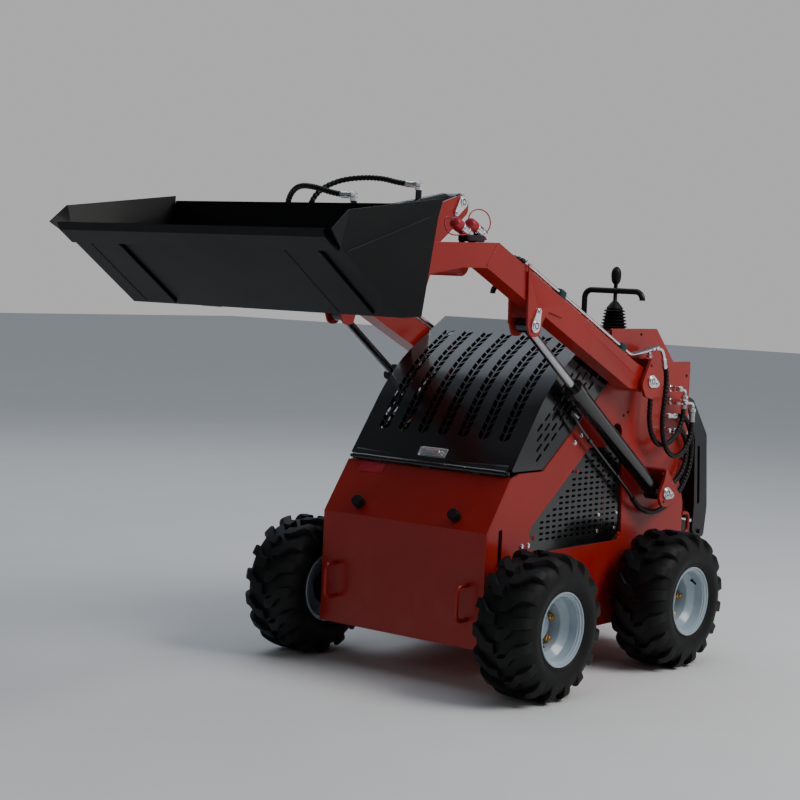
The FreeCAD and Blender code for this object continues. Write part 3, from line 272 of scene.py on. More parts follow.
red, deep_red = tone(0.34, 0.011, 0.005), tone(0.28, 0.008, 0.004)
paint_finish("orange_red_paint", red, deep_red, 0.32, coat=0.1, gloss=0.32)
# The same red, with painted shade in near black on its inner faces
paint_finish("inside_shaded_paint", red, deep_red, 0.32, coat=0.1, gloss=0.32, shade_inside=True)


def carried(node, bevel=1.2, edge=35.0, finish=None):
    """The CAD node as a merged copy with rounded edges, in its slot's finish, riding on its body."""
    mesh = nodes[node].data.copy()
    body = bmesh.new()
    body.from_mesh(mesh)
    bmesh.ops.remove_doubles(body, verts=body.verts, dist=1e-5)
    bmesh.ops.dissolve_limit(body, angle_limit=radians(0.5), verts=body.verts, edges=body.edges)
    body.to_mesh(mesh)
    body.free()
    mesh.materials.clear()
    mesh.materials.append(finishes[finish or slot_of[node]])
    mesh.shade_smooth()
    copy = bpy.data.objects.new(node + "_finished", mesh)
    bpy.context.scene.collection.objects.link(copy)
    if bevel:
        rounding = copy.modifiers.new("rounding", "BEVEL")
        rounding.width, rounding.segments, rounding.limit_method = bevel / 1000.0, 2, "ANGLE"
        rounding.angle_limit = radians(edge)
        rounding.harden_normals = True
    mesh.set_sharp_from_angle(angle=radians(edge))
    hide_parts(node)
    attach(copy, body_of[node])


for node in ("nose_panel", "nose_shelf", "belly_pan", "pivot_ears_left", "pivot_ears_right"):
    carried(node)
# Side plates and console shell carry painted shade on their inner faces
for node in ("side_plate_left", "side_plate_right", "console_shell"):
    carried(node, finish="inside_shaded_paint")
carried("tie_down_loops", 0.0)

# Bolts, pins, brackets and axles of the chassis
# Zinc and black hexagon bolts hold the guards inside the tower, painted ones the brackets. Each is a
# pressed head on a round washer. Pins and axles are turned steel, and the engine is a plain block.


def metal_finish(name, colour, rough):
    """Bright metal with faint rubbing marks."""
    f = Finish(name)
    marks = f.noise(38.0, 3.0, 0.5)
    dull = tuple(c * 0.86 for c in colour[:3]) + (1.0,)
    finishes[name] = f.shade(Base_Color=f.blend(marks.between(0.3, 0.75), colour, dull), Metallic=1.0,
                             Roughness=marks * 0.12 + rough)


metal_finish("zinc_steel", tone(0.80, 0.81, 0.83), 0.18)
paint_finish("frame_black", tone(0.004, 0.004, 0.0045), tone(0.003, 0.003, 0.0035), 0.36, 0.2, 0.1, 0.35)


def grid(points, closed_rows=False, capped=True):
    """Surface over points[row, column]: a quad between each four neighbours, each row joined round. The
    last row joins the first where closed_rows, and one face fills each end row where capped."""
    rows, columns = points.shape[:2]
    index = np.arange(rows * columns).reshape(rows, columns)
    caps = [index[0][::-1], index[-1]] if capped else []
    if closed_rows:
        index = np.vstack([index, index[:1]])
    index = np.hstack([index, index[:, :1]])
    quads = np.stack([index[:-1, :-1], index[:-1, 1:], index[1:, 1:], index[1:, :-1]], -1)
    return points.reshape(-1, 3), quads.reshape(-1, 4), caps


def round_angles(steps):
    """Equal steps of angle, once round."""
    return np.arange(steps) * 2 * pi / steps


def turned(profile, centre, axis, steps=32, ring=False):
    """Profile of (along, radius) turned about the axis through centre: centre + along * axis + radius *
    (cosine, sine) of the angle on two vectors square to the axis. Six steps give a hexagon."""
    axis = np.array(axis, float) / np.linalg.norm(axis)
    side = np.cross(axis, (1.0, 0.0, 0.0) if abs(axis[0]) < 0.8 else (0.0, 0.0, 1.0))
    side /= np.linalg.norm(side)
    along, radius = np.array(profile, float).T[:, :, None, None]
    angle = round_angles(steps)[:, None]
    circle = np.cos(angle) * side + np.sin(angle) * np.cross(axis, side)
    return grid(np.array(centre, float) + along * axis + radius * circle, closed_rows=ring, capped=not ring)


def piece(name, surfaces, slot, body, stands_for=(), edge=38.0):
    """One mesh from surfaces in machine millimetres, in a slot's finish. body is one body's name to ride
    on; given as two bodies and two points instead, the piece stays in the frame and rides on no body."""
    starts = np.cumsum([0] + [len(points) for points, _, _ in surfaces])
    points = np.vstack([points for points, _, _ in surfaces])
    faces = np.vstack([quads + first for (_, quads, _), first in zip(surfaces, starts)]).tolist()
    faces += [(cap + first).tolist() for (_, _, caps), first in zip(surfaces, starts) for cap in caps]
    mesh = bpy.data.meshes.new(name)
    mesh.from_pydata((points + (0.0, shift_y, 0.0)) / 1000.0, [], faces)
    shell = bmesh.new()
    shell.from_mesh(mesh)
    bmesh.ops.recalc_face_normals(shell, faces=shell.faces)
    shell.to_mesh(mesh)
    shell.free()
    mesh.shade_smooth()
    mesh.set_sharp_from_angle(angle=radians(edge))
    mesh.materials.append(finishes[slot])
    made = bpy.data.objects.new(name, mesh)
    bpy.context.scene.collection.objects.link(made)
    if stands_for:
        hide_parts(*stands_for)
    if isinstance(body, str):
        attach(made, body)
    else:
        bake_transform(made)


def bolt(centre, axis, width=13.0, height=5.5):
    """Hexagon head with a chamfered top on a round washer, seated on the plate at centre."""
    r = width / 2 / cos(pi / 6)
    washer = turned([(-0.5, 0.62 * width), (1.3, 0.62 * width), (1.6, 0.58 * width)], centre, axis, 20)
    head = turned([(1.0, r), (height - 0.8, r), (height, 0.86 * r), (height, 0.3 * r)], centre, axis, 6)
    return [washer, head]


def both_sides(x, spots, width=13.0, height=5.5):
    """Bolts at (y, z) spots on the left plate's face at x, and their mirror images."""
    heads = []
    for y, z in spots:
        heads += bolt((x, y, z), (1, 0, 0), width, height) + bolt((-x, y, z), (-1, 0, 0), width, height)
    return heads


half_body = 332.0
ear_face = 426.0
zinc_spots = [(-292, 447), (-256, 447), (-15, 766), (20, 790)]
tower_spots = [(365, 1119), (686, 972), (681, 676), (305, 855), (278, 844)]
ear_spots = [(285, 1019), (411, 551), (393, 650)]
painted_spots = [(3, 669), (-228, 470), (279, 441)]
piece("zinc_plate_bolts", both_sides(half_body, zinc_spots, 15.0), "zinc_steel", "chassis")
black_bolts = both_sides(half_body, tower_spots, 8.0, 3.5) + both_sides(ear_face, ear_spots, 7.0, 3.0)
piece("black_tower_bolts", black_bolts, "frame_black", "chassis")
piece("painted_plate_bolts", both_sides(half_body, painted_spots, 12.0, 5.0), "orange_red_paint", "chassis")
for node in ("pivot_pins", "tilt_base_pin", "hitch_pins", "platform_brackets", "axle_front", "axle_rear",
             "hood_hinge_bar"):
    carried(node, 0.8)
carried("engine_block", 6.0)

# Engine hood and the side grilles
# The hood is one folded steel sheet with punched chevron vents, hung on the bar at its foot.
# Hood and grille panels are sprayed gloss black, and a zinc paddle latch holds the hood.
paint_finish("black_paint", tone(0.0035, 0.0037, 0.0045), tone(0.0025, 0.0027, 0.0035), 0.2, 0.12, 0.45, 0.4)
for node in ("hood", "side_grille_left", "side_grille_right"):
    carried(node, 0.0)
low_angle = 54.5
hood_hinge = (-366.0, 680.0)
latch_run = 46.0
latch_half = (57.0, 18.0)


def leaned(local, origin, angle):
    """Points (x, along, out) on a plate that leans back: along runs up it at angle, and out stands
    square off it."""
    x, along, out = np.moveaxis(np.asarray(local, float), -1, 0)
    c, s = cos(radians(angle)), sin(radians(angle))
    return np.stack([origin[0] + x, origin[1] + along * c - out * s, origin[2] + along * s + out * c], -1)


def bent(value, power):
    """The size of each value raised to a power, with its sign kept: squares off a circle when low."""
    return np.sign(value) * abs(value) ** power


def pressed_plate(half, steps, origin, angle, corner=5.0, columns=48):
    """Rounded rectangle in rows of (share of the half size, height out): cosine and sine of the angle,
    each to the power 2 / corner."""
    turn_angle = round_angles(columns)
    rim = np.stack([bent(np.cos(turn_angle), 2 / corner) * half[0],
                    bent(np.sin(turn_angle), 2 / corner) * half[1]], -1)
    share, height = np.array(steps, float).T[:, :, None]
    flat = rim[None] * share[..., None]
    local = np.stack([flat[..., 0], flat[..., 1], np.broadcast_to(height, flat.shape[:2])], -1)
    return grid(leaned(local, origin, angle))


def hood_face(x, run):
    """Place on the straight lower part of the hood, run up it from its hinge."""
    a = radians(low_angle)
    return (x, hood_hinge[0] + run * cos(a), hood_hinge[1] + run * sin(a))


latch_out = (0.0, -sin(radians(low_angle)), cos(radians(low_angle)))
dish_rows = [(1.0, -0.5), (1.0, 2.0), (0.98, 2.8), (0.92, 2.8), (0.89, 2.2), (0.86, 0.8), (0.05, 0.8)]
latch_dish = pressed_plate(latch_half, dish_rows, hood_face(0.0, latch_run), low_angle, 10.0)
latch_paddle = pressed_plate((34.0, 11.5), [(0.96, 0.5), (1.0, 1.2), (0.98, 2.6), (0.85, 3.2), (0.1, 3.4)],
                             hood_face(-9.0, latch_run), low_angle, 8.0, 36)
latch_lock = turned([(0.0, 7.0), (3.6, 7.0), (4.2, 6.2), (4.2, 4.0), (3.4, 3.4), (3.4, 0.5)],
                    hood_face(37.0, latch_run), latch_out, 28)
piece("hood_latch", [latch_dish, latch_paddle, latch_lock], "zinc_steel", "hood")
knuckle = [(1, 8.4), (1.6, 9.4), (76.4, 9.4), (77, 8.4)]
barrel = [(start + along, r) for start in range(-312, 312, 78) for along, r in knuckle]
hinge_leaf = pressed_plate((312.0, 15.0), [(1.0, -0.5), (1.0, 1.2), (0.996, 1.8), (0.1, 1.8)],
                           hood_face(0.0, 17.0), low_angle, 24.0)
hinge = [turned(barrel, (0.0, *hood_hinge), (1, 0, 0), 32), hinge_leaf]
piece("hood_hinge_barrel", hinge, "black_paint", "hood")

paint_finish("red_plastic", tone(0.42, 0.005, 0.020), tone(0.35, 0.004, 0.015), 0.4, 0.05, 0.1)
nose_angle = 55.36
tag_place = (-219.0, -381.0, 650.0)
tag_rows = [(1.0, -0.5), (1.0, 1.0), (0.98, 1.6), (0.1, 1.6)]
tag = pressed_plate((51.0, 18.0), tag_rows, tag_place, nose_angle, 8.0)
piece("nose_tag", [tag], "red_plastic", "chassis")
grille_face = 324.0
grille_spots = [(162, 514), (272, 513), (158, 459), (265, 460)]
piece("grille_bolts", both_sides(grille_face, grille_spots, 10.0, 4.0), "zinc_steel", "chassis")

# Rubber buffers, control sticks and their hand guards
# Two buffers catch the open hood. Each stick stands in a moulded rubber bellows of six folds
# on the tower's deck, under a bent round bar that the operator's hands rest on.


def rubber_finish(name, colour, rough, dust, grain=500.0):
    """Moulded rubber: dusty patches and a fine grain."""
    f = Finish(name)
    patch = f.noise(14.0, 6.0, 0.65).between(0.4, 0.75)
    base = f.blend(patch * dust, colour, tone(0.030, 0.028, 0.026))
    finishes[name] = f.shade(Base_Color=base, Roughness=patch * 0.15 + rough, Specular_IOR_Level=0.25,
                             Normal=f.bump(f.noise(grain, 3.0), 0.0004, 0.45))


rubber_finish("black_rubber", tone(0.004, 0.004, 0.0045), 0.45, 0.12)
carried("hood_stops", 2.0)
carried("hand_guards", 0.0)
deck_z = 1125.0
stick_x = 185.0
stick_y = 420.0
folds = 6
fold_rows = np.linspace(0.0, 1.0, 73)
# The folds swell and shrink by 5 as a cosine while the whole narrows from 43 to 32
fold_r = 43.0 - fold_rows * 11.0 - 5.0 * np.cos(fold_rows * folds * 2 * pi)
bellows = np.stack([8.0 + fold_rows * 66.0, fold_r], -1)
stick_profile = [(0.0, 49.0), (3.0, 50.0), (6.0, 48.0)] + bellows.tolist() + [
    (77.0, 30.0), (98.0, 13.0), (101.0, 9.5), (104.0, 7.0), (160.0, 7.0), (164.0, 11.0), (170.0, 15.0),
    (186.0, 17.5), (200.0, 17.5), (212.0, 14.0), (219.0, 8.0), (222.0, 2.0)]
sticks = [turned(stick_profile, (side * stick_x, stick_y, deck_z), (0, 0, 1), 40) for side in (-1, 1)]
piece("control_sticks", sticks, "black_rubber", "chassis", ["joysticks"], 50.0)

# Wheels
# Each is a pressed steel rim with a deep disc, bolted by brass nuts to the hub of its motor.
# The tubeless tyre is moulded rubber with sixteen kinked lugs on each half, set alternately.
paint_finish("rim_paint", tone(0.40, 0.49, 0.56), tone(0.34, 0.42, 0.48), 0.26, 0.3, 0.4)
rubber_finish("tyre_rubber", tone(0.0045, 0.0047, 0.0052), 0.55, 0.2, 260.0)
metal_finish("brass_nuts", tone(0.80, 0.46, 0.16), 0.22)
axle_z = 230.0
half_base = 387.0
half_track = 472.0
lug_count = 16
carcass_r = 213.0
# Rows from the crown to the bead: carcass x and radius, then the lug's top x and radius
tyre_rows = np.array([
    (0, 213, 0, 213), (2.5, 213, 2.5, 213.5), (6, 213, 5, 229), (9, 213, 9, 230), (22, 213, 22, 230),
    (35, 212.5, 35, 230), (40, 212.3, 40, 230), (50, 211.5, 50, 229.8), (60, 210.2, 60, 229),
    (66, 209, 66, 228), (76, 205.5, 78, 224.5), (86, 199, 89, 217), (92, 192, 95, 209),
    (95.5, 186, 98, 203), (98, 181, 100, 190), (100.5, 175, 101, 176), (103.5, 164, 103.5, 164),
    (104.3, 152, 104.3, 152), (101.5, 139, 101.5, 139), (97, 131, 97, 131), (95.5, 128, 95.5, 128),
    (96.5, 125, 96.5, 125), (94, 121, 94, 121), (91, 117.5, 91, 117.5), (89, 114, 89, 114)], float)
# Arc from the crown, and how far the lug has swept back there: flat, steep, flat
lead_runs = [0.0, 33.0, 62.0, 70.0, 112.0]
lead_sizes = [0.0, 3.0, 37.0, 39.0, 47.0]
# Across one lug: how far a column lies from its middle, and its share of the lug's height
lug_columns = np.array([(-18.5, 0.0), (-16.0, 0.92), (-14.8, 1.0), (-5.0, 1.0), (5.0, 1.0), (14.8, 1.0),
                        (16.0, 0.92), (18.5, 0.0)])


def tyre(centre, outward):
    """Closed ring of rows across the section and columns round it. A point is the carcass plus its share
    of the lug; the angle grows with the arc from the crown, so each lug sweeps back with a kink."""
    pitch = 2 * pi * carcass_r / lug_count
    offsets = np.concatenate([lug_columns[:, 0], lug_columns[:, 0] + pitch / 2])
    flat = np.zeros(len(lug_columns))
    left_share = np.tile(np.concatenate([lug_columns[:, 1], flat]), lug_count)
    right_share = np.tile(np.concatenate([flat, lug_columns[:, 1]]), lug_count)
    angle = (np.arange(lug_count)[:, None] * pitch + offsets).ravel() / carcass_r
    run = np.concatenate([[0.0], np.cumsum(np.hypot(*np.diff(tyre_rows[:, :2], axis=0).T))])
    lead = np.interp(run, lead_runs, lead_sizes) / carcass_r
    halves = []
    for side, share in ((1.0, left_share), (-1.0, right_share)):
        x, r, top_x, top_r = tyre_rows.T[:, :, None]
        across = side * (x + share * (top_x - x))
        radius = r + share * (top_r - r)
        turn_angle = angle + lead[:, None]
        halves.append(np.stack([across, radius * np.sin(turn_angle), radius * np.cos(turn_angle)], -1))
    section = np.concatenate([halves[0][::-1], halves[1][1:]])
    return grid(section * (outward, 1.0, 1.0) + centre, closed_rows=True, capped=False)


rim_front = [(90, 115.5), (93, 116.5), (95, 115.5), (95.5, 113.5), (94.5, 111.5), (90, 110), (86, 108.5),
             (84, 105), (82, 100.5), (72, 99.8), (60, 99.5), (52, 97), (40, 82), (33, 76), (-20, 75),
             (-27, 72), (-30, 66), (-30, 28)]
rim_back = [(-35, 28), (-35, 70), (-38, 74), (-57, 97), (-82, 100), (-84, 105), (-86, 108.5), (-90, 110),
            (-94.5, 111.5), (-95.5, 113.5), (-95, 115.5), (-93, 116.5), (-90, 115.5), (-88, 104),
            (-55, 103), (-36, 78), (36, 78), (55, 103), (88, 104)]
hub_front = [(-34, 77), (-9, 77), (-6, 74), (-6, 52), (5, 51), (8, 48), (8, 22), (11, 20), (11, 1)]
valve_profile = [(0, 4.6), (6, 4.4), (10, 3.0), (18, 2.8), (19, 3.6), (27, 3.6), (28, 1.0)]
valve_x, valve_circle = 50.0, 95.0
valve_angles = {"front": radians(215.0), "rear": radians(37.8)}
stud_profile = [(14.0, 6.0), (22.0, 6.0), (23.0, 5.0), (23.0, 1.0)]
nut_x, nut_circle = 5.0, 65.0
nut_angles = {"front": radians(17.2), "rear": radians(-0.6)}
for end, y in (("front", -half_base), ("rear", half_base)):
    for side, outward in (("left", 1.0), ("right", -1.0)):
        name = end + "_" + side
        body = "wheel_" + name
        centre = (outward * half_track, y, axle_z)
        axis = (outward, 0.0, 0.0)
        piece("tyre_" + name + "_lugged", [tyre(centre, outward)], "tyre_rubber", body,
              ["tyre_" + name], 30.0)
        rim = [turned(rim_front + rim_back, centre, axis, 96, ring=True),
               turned(hub_front, centre, axis, 64)]
        piece("rim_" + name + "_pressed", rim, "rim_paint", body, ["rim_" + name], 28.0)
        c, s = cos(valve_angles[end]), sin(valve_angles[end])
        valve_foot = (centre[0] + outward * valve_x, y + valve_circle * c, axle_z + valve_circle * s)
        valve = turned(valve_profile, valve_foot, (outward * 0.8, -0.5 * c, -0.5 * s), 16)
        piece("valve_" + name, [valve], "black_rubber", body)
        nuts = []
        for i in range(6):
            a = i * pi / 3 + nut_angles[end]
            seat = (centre[0] - outward * nut_x, y + nut_circle * cos(a), axle_z + nut_circle * sin(a))
            nuts += bolt(seat, axis, 21.0, 15.0) + [turned(stud_profile, seat, axis, 16)]
        piece("wheel_nuts_" + name, nuts, "zinc_steel", body)
        bpy.data.objects["wheel_nuts_" + name].data.materials[0] = finishes["brass_nuts"]

# Lift arms, their cross tube and the pins' keepers
# Two welded box arms turn on pins in the tower's ears. A tube between their noses carries the
# gooseneck plates of the tilt cylinder. A bolted zinc plate keeps each pin in its place.
for node in ("lift_arm_left", "lift_arm_right", "arm_bridge"):
    carried(node, 1.0)
arm_pivot = (290.0, 966.0)
arm_slope = 180.0 - 24.3
arm_half = 29.0
arm_places = (360.0, 385.0)

def arm_top(run, height):
    """The (y, z) above the sloping arm's top face, run forward from over its pivot."""
    a = radians(arm_slope)
    across = -arm_half - height
    return (arm_pivot[0] + run * cos(a) - across * sin(a), arm_pivot[1] + run * sin(a) + across * cos(a))


def run_along(line):
    """Distance from the first point of a line to each point, along it."""
    return np.concatenate([[0.0], np.cumsum(np.linalg.norm(np.diff(line, axis=0), axis=1))])


def smooth_line(points, spacing):
    """Points, spacing apart, read from the NURBS spline whose control points these are."""
    data = bpy.data.curves.new("route", "CURVE")
    data.dimensions = "3D"
    data.resolution_u = 24
    spline = data.splines.new("NURBS")
    spline.points.add(len(points) - 1)
    spline.points.foreach_set("co", np.c_[np.array(points, float), np.ones(len(points))].ravel())
    spline.order_u = 3
    spline.use_endpoint_u = True
    holder = bpy.data.objects.new("route", data)
    mesh = bpy.data.meshes.new_from_object(holder)
    line = np.zeros(len(mesh.vertices) * 3)
    mesh.vertices.foreach_get("co", line)
    line = line.reshape(-1, 3)
    bpy.data.objects.remove(holder)
    bpy.data.meshes.remove(mesh)
    run = run_along(line)
    even = np.linspace(0.0, run[-1], max(4, int(run[-1] / spacing)))
    return np.stack([np.interp(even, run, line[:, k]) for k in range(3)], -1)


def along_line(line, radius, sides=16, level=(1.0, 0.0, 0.0)):
    """Round section carried along a line: point + radius * (cosine * first + sine * second), where first
    is the level direction made square to the line. radius is one number, or one for each point and side."""
    ahead_of = np.gradient(line, axis=0)
    ahead_of /= np.linalg.norm(ahead_of, axis=1)[:, None]
    first = np.array(level) - (ahead_of @ np.array(level))[:, None] * ahead_of
    first /= np.linalg.norm(first, axis=1)[:, None]
    second = np.cross(ahead_of, first)
    angle = round_angles(sides)
    circle = np.cos(angle)[None, :, None] * first[:, None] + np.sin(angle)[None, :, None] * second[:, None]
    radius = np.broadcast_to(np.asarray(radius, float), (len(line), sides))
    return grid(line[:, None] + circle * radius[..., None])


def weld(points, size=2.4, level=(1.0, 0.0, 0.0)):
    """Ripple of a hand-laid weld along straight runs: the radius swells as a cosine every 4 mm."""
    corners = np.array(points, float)
    run = run_along(corners)
    even = np.linspace(0.0, run[-1], int(run[-1] / 1.3))
    line = np.stack([np.interp(even, run, corners[:, k]) for k in range(3)], -1)
    ripple = size * (1.0 + 0.14 * np.cos(even * 2 * pi / 4.0) + 0.08 * np.sin(even * 0.31))
    return along_line(line, ripple[:, None], 8, level)


cheek_faces = (339.0, 411.0)
cap_face = 405.0
arm_welds = []
for side in (-1, 1):
    for x in cheek_faces:
        arm_welds.append(weld([(side * x, -438, 1338), (side * x, -430, 1152)], 2.0))
    arm_welds.append(weld([(side * cap_face, -598, 1386), (side * cap_face, -645, 1322)], 2.0))
piece("arm_cheek_welds", arm_welds, "orange_red_paint", "boom")


def keeper(x, side, pin, foot, r_pin=21.6, r_foot=11.6, thick=5.6, steps=48):
    """Drop-shaped keeper plate over a pin's end: at each angle the outline follows whichever of its two
    circles reaches further that way. The turned end of the pin stands in it, and a bolt in its foot."""
    angle = round_angles(steps)
    way = np.stack([np.cos(angle), np.sin(angle)], -1)
    pin, foot = np.array(pin, float), np.array(foot, float)
    on_pin = (r_pin + way @ pin >= r_foot + way @ foot)[:, None]
    middle, r = np.where(on_pin, pin, foot), np.where(on_pin, r_pin, r_foot)
    rows = [np.hstack([np.full((steps, 1), side * (x + out)), middle + (r - inset) * way])
            for out, inset in ((-0.5, 0.0), (thick - 1.0, 0.0), (thick, 1.0))]
    end = turned([(thick - 0.5, 15.8), (thick + 1.8, 15.8), (thick + 2.5, 15.1), (thick + 2.5, 1.0)],
                 (side * x, *pin), (side, 0, 0), 40)
    return [grid(np.stack(rows)), end] + bolt((side * (x + thick), *foot), (side, 0, 0), 11.0, 5.0)


def pin_groove_shade(x, side, pin):
    """Painted shade of a turned groove in the end of a pin: a flat near-black ring."""
    groove = [(7.6, 7.0), (8.4, 7.0), (8.4, 10.5), (7.6, 10.5)]
    return turned(groove, (side * x, *pin), (side, 0, 0), 32, ring=True)


# Each pin's (y, z), and that of its keeper's bolt
lift_pin, lift_pin_bolt = (-390.0, 1148.0), (-376.0, 1192.0)
tilt_base, tilt_base_bolt = (-310.0, 1527.0), (-342.0, 1491.0)
arm_pivot_bolt = (321.0, 957.0)
lift_base, lift_base_bolt = (426.0, 580.0), (457.0, 571.0)
gooseneck_face = 52.0
pin_ends = (("boom_pin", "boom", ((cheek_faces[1], lift_pin, lift_pin_bolt),
                                  (gooseneck_face, tilt_base, tilt_base_bolt))),
            ("ear_pin", "chassis", ((ear_face, arm_pivot, arm_pivot_bolt),
                                    (ear_face, lift_base, lift_base_bolt))))
for name, body, ends in pin_ends:
    keepers, grooves = [], []
    for side in (1, -1):
        for x, pin, foot in ends:
            keepers += keeper(x, side, pin, foot)
            grooves.append(pin_groove_shade(x, side, pin))
    piece(name + "_keepers", keepers, "zinc_steel", body)
    # Flat near-black rings on the pins' ends are painted shade for their turned grooves
    piece(name + "_groove_shades", grooves, "frame_black", body)

# Hard oil tubes and their clamps
# Two zinc-plated steel tubes run along the top of each arm, held by pairs of green plastic
# clamps with a steel strap and a bolt. At the back they turn down into the crimped hoses.
rubber_finish("green_plastic", tone(0.003, 0.045, 0.036), 0.38, 0.08)
tube_height = 20.0
tube_r = 6.2
clamp_x = 372.5
clamp_runs = (168.0, 578.0)
tube_front, tube_rear = arm_top(800.0, tube_height), arm_top(100.0, tube_height)


def rounded_block(centre, half, angle, power=0.32, rows=20, columns=32):
    """Ball whose sines and cosines are raised to a low power, stretched to the half sizes
    (x, along, out) and leaned at angle."""
    lift = np.linspace(-pi / 2 + 0.02, pi / 2 - 0.02, rows)[:, None]
    round_angle = round_angles(columns)[None]
    level = bent(np.cos(lift), power)
    local = np.stack([level * bent(np.cos(round_angle), power) * half[0],
                      level * bent(np.sin(round_angle), power) * half[1],
                      bent(np.sin(lift), power) * half[2] * np.ones_like(round_angle)], -1)
    return grid(leaned(local, centre, angle))


def tube_line(x, side):
    """Route of one hard tube, from the arm's elbow to the fitting behind the pivot."""
    drop = 0.0 if x > arm_places[0] else -6.0
    y, z = tube_rear
    places = [tube_front, arm_top(700.0, tube_height), arm_top(140.0, tube_height), tube_rear,
              (y + 40.0, z + 5.0 + drop / 3), (y + 135.0, z + 20.0 + drop)]
    return [(side * x, *place) for place in places]


clamp_lean = (0.0, sin(radians(arm_slope)), -cos(radians(arm_slope)))
tubes, clamps, clamp_bolts, tube_nuts = [], [], [], []
for side in (-1, 1):
    for x in arm_places:
        route = tube_line(x, side)
        tubes.append(along_line(smooth_line(route, 5.0), tube_r, 18))
        end, before = np.array(route[-1]), np.array(route[-2])
        for hold, size in ((-6.0, 9.5), (16.0, 11.0)):
            nut_profile = [(0, size), (14, size), (15, 0.86 * size), (15, 4)]
            tube_nuts.append(turned(nut_profile, end + (0, hold, hold * 0.12), end - before, 6))
    for run in clamp_runs:
        middle = (side * clamp_x, *arm_top(run, 16.0))
        clamps.append(rounded_block(middle, (25.0, 17.0, 16.5), arm_slope + 180.0))
        clamp_bolts += bolt((side * clamp_x, *arm_top(run, 31.5)), clamp_lean, 11.0, 6.0)
piece("hard_tubes", tubes + tube_nuts, "zinc_steel", "boom", ["arm_hard_tubes"])
piece("tube_clamp_blocks", clamps, "green_plastic", "boom", (), 60.0)
piece("tube_clamp_bolts", clamp_bolts, "zinc_steel", "boom")

# Auxiliary couplers
# Two flat-faced quick couplers stand on a block on the left arm's nose. Each is chromed, with
# a locking sleeve, and wears a red plastic cap tied to it by a moulded strap.
coupler_x = 367.0
coupler_foot = (-676.0, 1398.7)
coupler_lean = radians(155.0)
coupler_axis = np.array((0.0, cos(coupler_lean), sin(coupler_lean)))
coupler_body = [(-10, 11), (-4, 15), (-3, 17), (12, 17), (13, 15.5), (17, 15.5), (18, 17.6), (40, 17.6),
                (41, 16), (46, 16)]
cap_profile = [(0, 16.5), (1.5, 18.4), (8, 18.6), (9.5, 17.2), (11, 18.6), (26, 18.2), (31, 16.4),
               (34, 12), (35, 4)]
# For each coupler: how far it stands along the block, and its strap's steps from the cap's tip and
# from the sleeve
coupler_rows = (
    (-38.0, ((0, 0, 0), (-6, -22, 20), (-8, -38, -6), (4, -26, -42)), ((16, -26, -6), (14, 0, -2))),
    (34.0, ((0, 0, 0), (4, -8, 26), (10, 34, 44), (12, 84, 30)), ((16, 26, 20), (13, 2, 2))))
couplers, caps, cap_straps = [], [], []
for shift, tip_steps, sleeve_steps in coupler_rows:
    root = np.array((coupler_x, coupler_foot[0] + shift + 20.0, coupler_foot[1] + 16.0))
    couplers.append(turned(coupler_body, root, coupler_axis, 36))
    couplers.append(turned([(-20, 8), (-6, 8)], root, coupler_axis, 6))
    caps.append(turned(cap_profile, root + 46.0 * coupler_axis, coupler_axis, 36))
    tip, sleeve = root + 80.0 * coupler_axis, root + 6.0 * coupler_axis
    loop = [tip + step for step in tip_steps] + [sleeve + step for step in sleeve_steps]
    cap_straps.append(along_line(smooth_line(loop, 3.0), 1.9, 10, (0.9, 0.3, 0.1)))
block = rounded_block((coupler_x, coupler_foot[0], coupler_foot[1] + 4.0), (20.0, 44.0, 10.0), 0.0, 0.22)
piece("coupler_bodies", couplers, "zinc_steel", "boom", ["aux_couplers"])
piece("coupler_block", [block], "frame_black", "boom")
piece("coupler_caps", caps + cap_straps, "red_plastic", "boom")

# Cylinders
# The lift and tilt cylinders have black painted barrels with a screwed gland and a steel rod
# that is ground and hard chromed. A steel tube on each lift barrel feeds its rod end.
paint_finish("cylinder_black", tone(0.0035, 0.0037, 0.0042), tone(0.0028, 0.0028, 0.0032), 0.18, 0.1, 0.5)
metal_finish("chrome_rod", tone(0.50, 0.51, 0.53), 0.08)
for node in ("lift_barrel_left", "lift_barrel_right", "tilt_barrel"):
    carried(node, 1.5)
for node in ("lift_rod_left", "lift_rod_right", "tilt_rod"):
    carried(node, 0.8)
eye_bush = [(352.4, 15.8), (352.4, 22.3), (353.0, 22.8), (397.0, 22.8), (397.6, 22.3), (397.6, 15.8)]
for side, name in ((1, "lift_rod_left"), (-1, "lift_rod_right")):
    bush = turned(eye_bush, (0, *lift_pin), (side, 0, 0), 48, ring=True)
    piece(name + "_eye", [bush], "cylinder_black", body_of[name])
feed_x = 358.0
feed_route = [(-86, 873), (-60, 848), (-13, 805), (120, 709), (257, 611), (290, 588), (312, 566)]
for side, name in ((1, "left"), (-1, "right")):
    line = smooth_line([(side * feed_x, y, z) for y, z in feed_route], 6.0)
    bands = [turned([(-6, 8.8), (6, 8.8)], (side * feed_x, y, z), (0, 140, -98), 20)
             for y, z in ((30, 774), (210, 645))]
    port = turned([(0, 10), (12, 10), (13, 8), (26, 8)], (side * feed_x, -78, 865),
                  (side * 0.55, 0.3, -0.6), 6)
    piece("lift_feed_tube_" + name, [along_line(line, 5.5, 14), port] + bands, "cylinder_black",
          "lift_barrel_" + name)

# Bulkhead fittings and hoses
# Four swivel fittings screw into the left tower wall. Each hose is crimped in a zinc ferrule
# and wears a black plastic spiral guard, from the wall to the arm's tubes and the cylinder.
rubber_finish("hose_rubber", tone(0.004, 0.004, 0.0045), 0.35, 0.08)
hose_planes = (352.0, 372.0, 392.0)
hose_r = 8.6
guard_pitch = 14.0


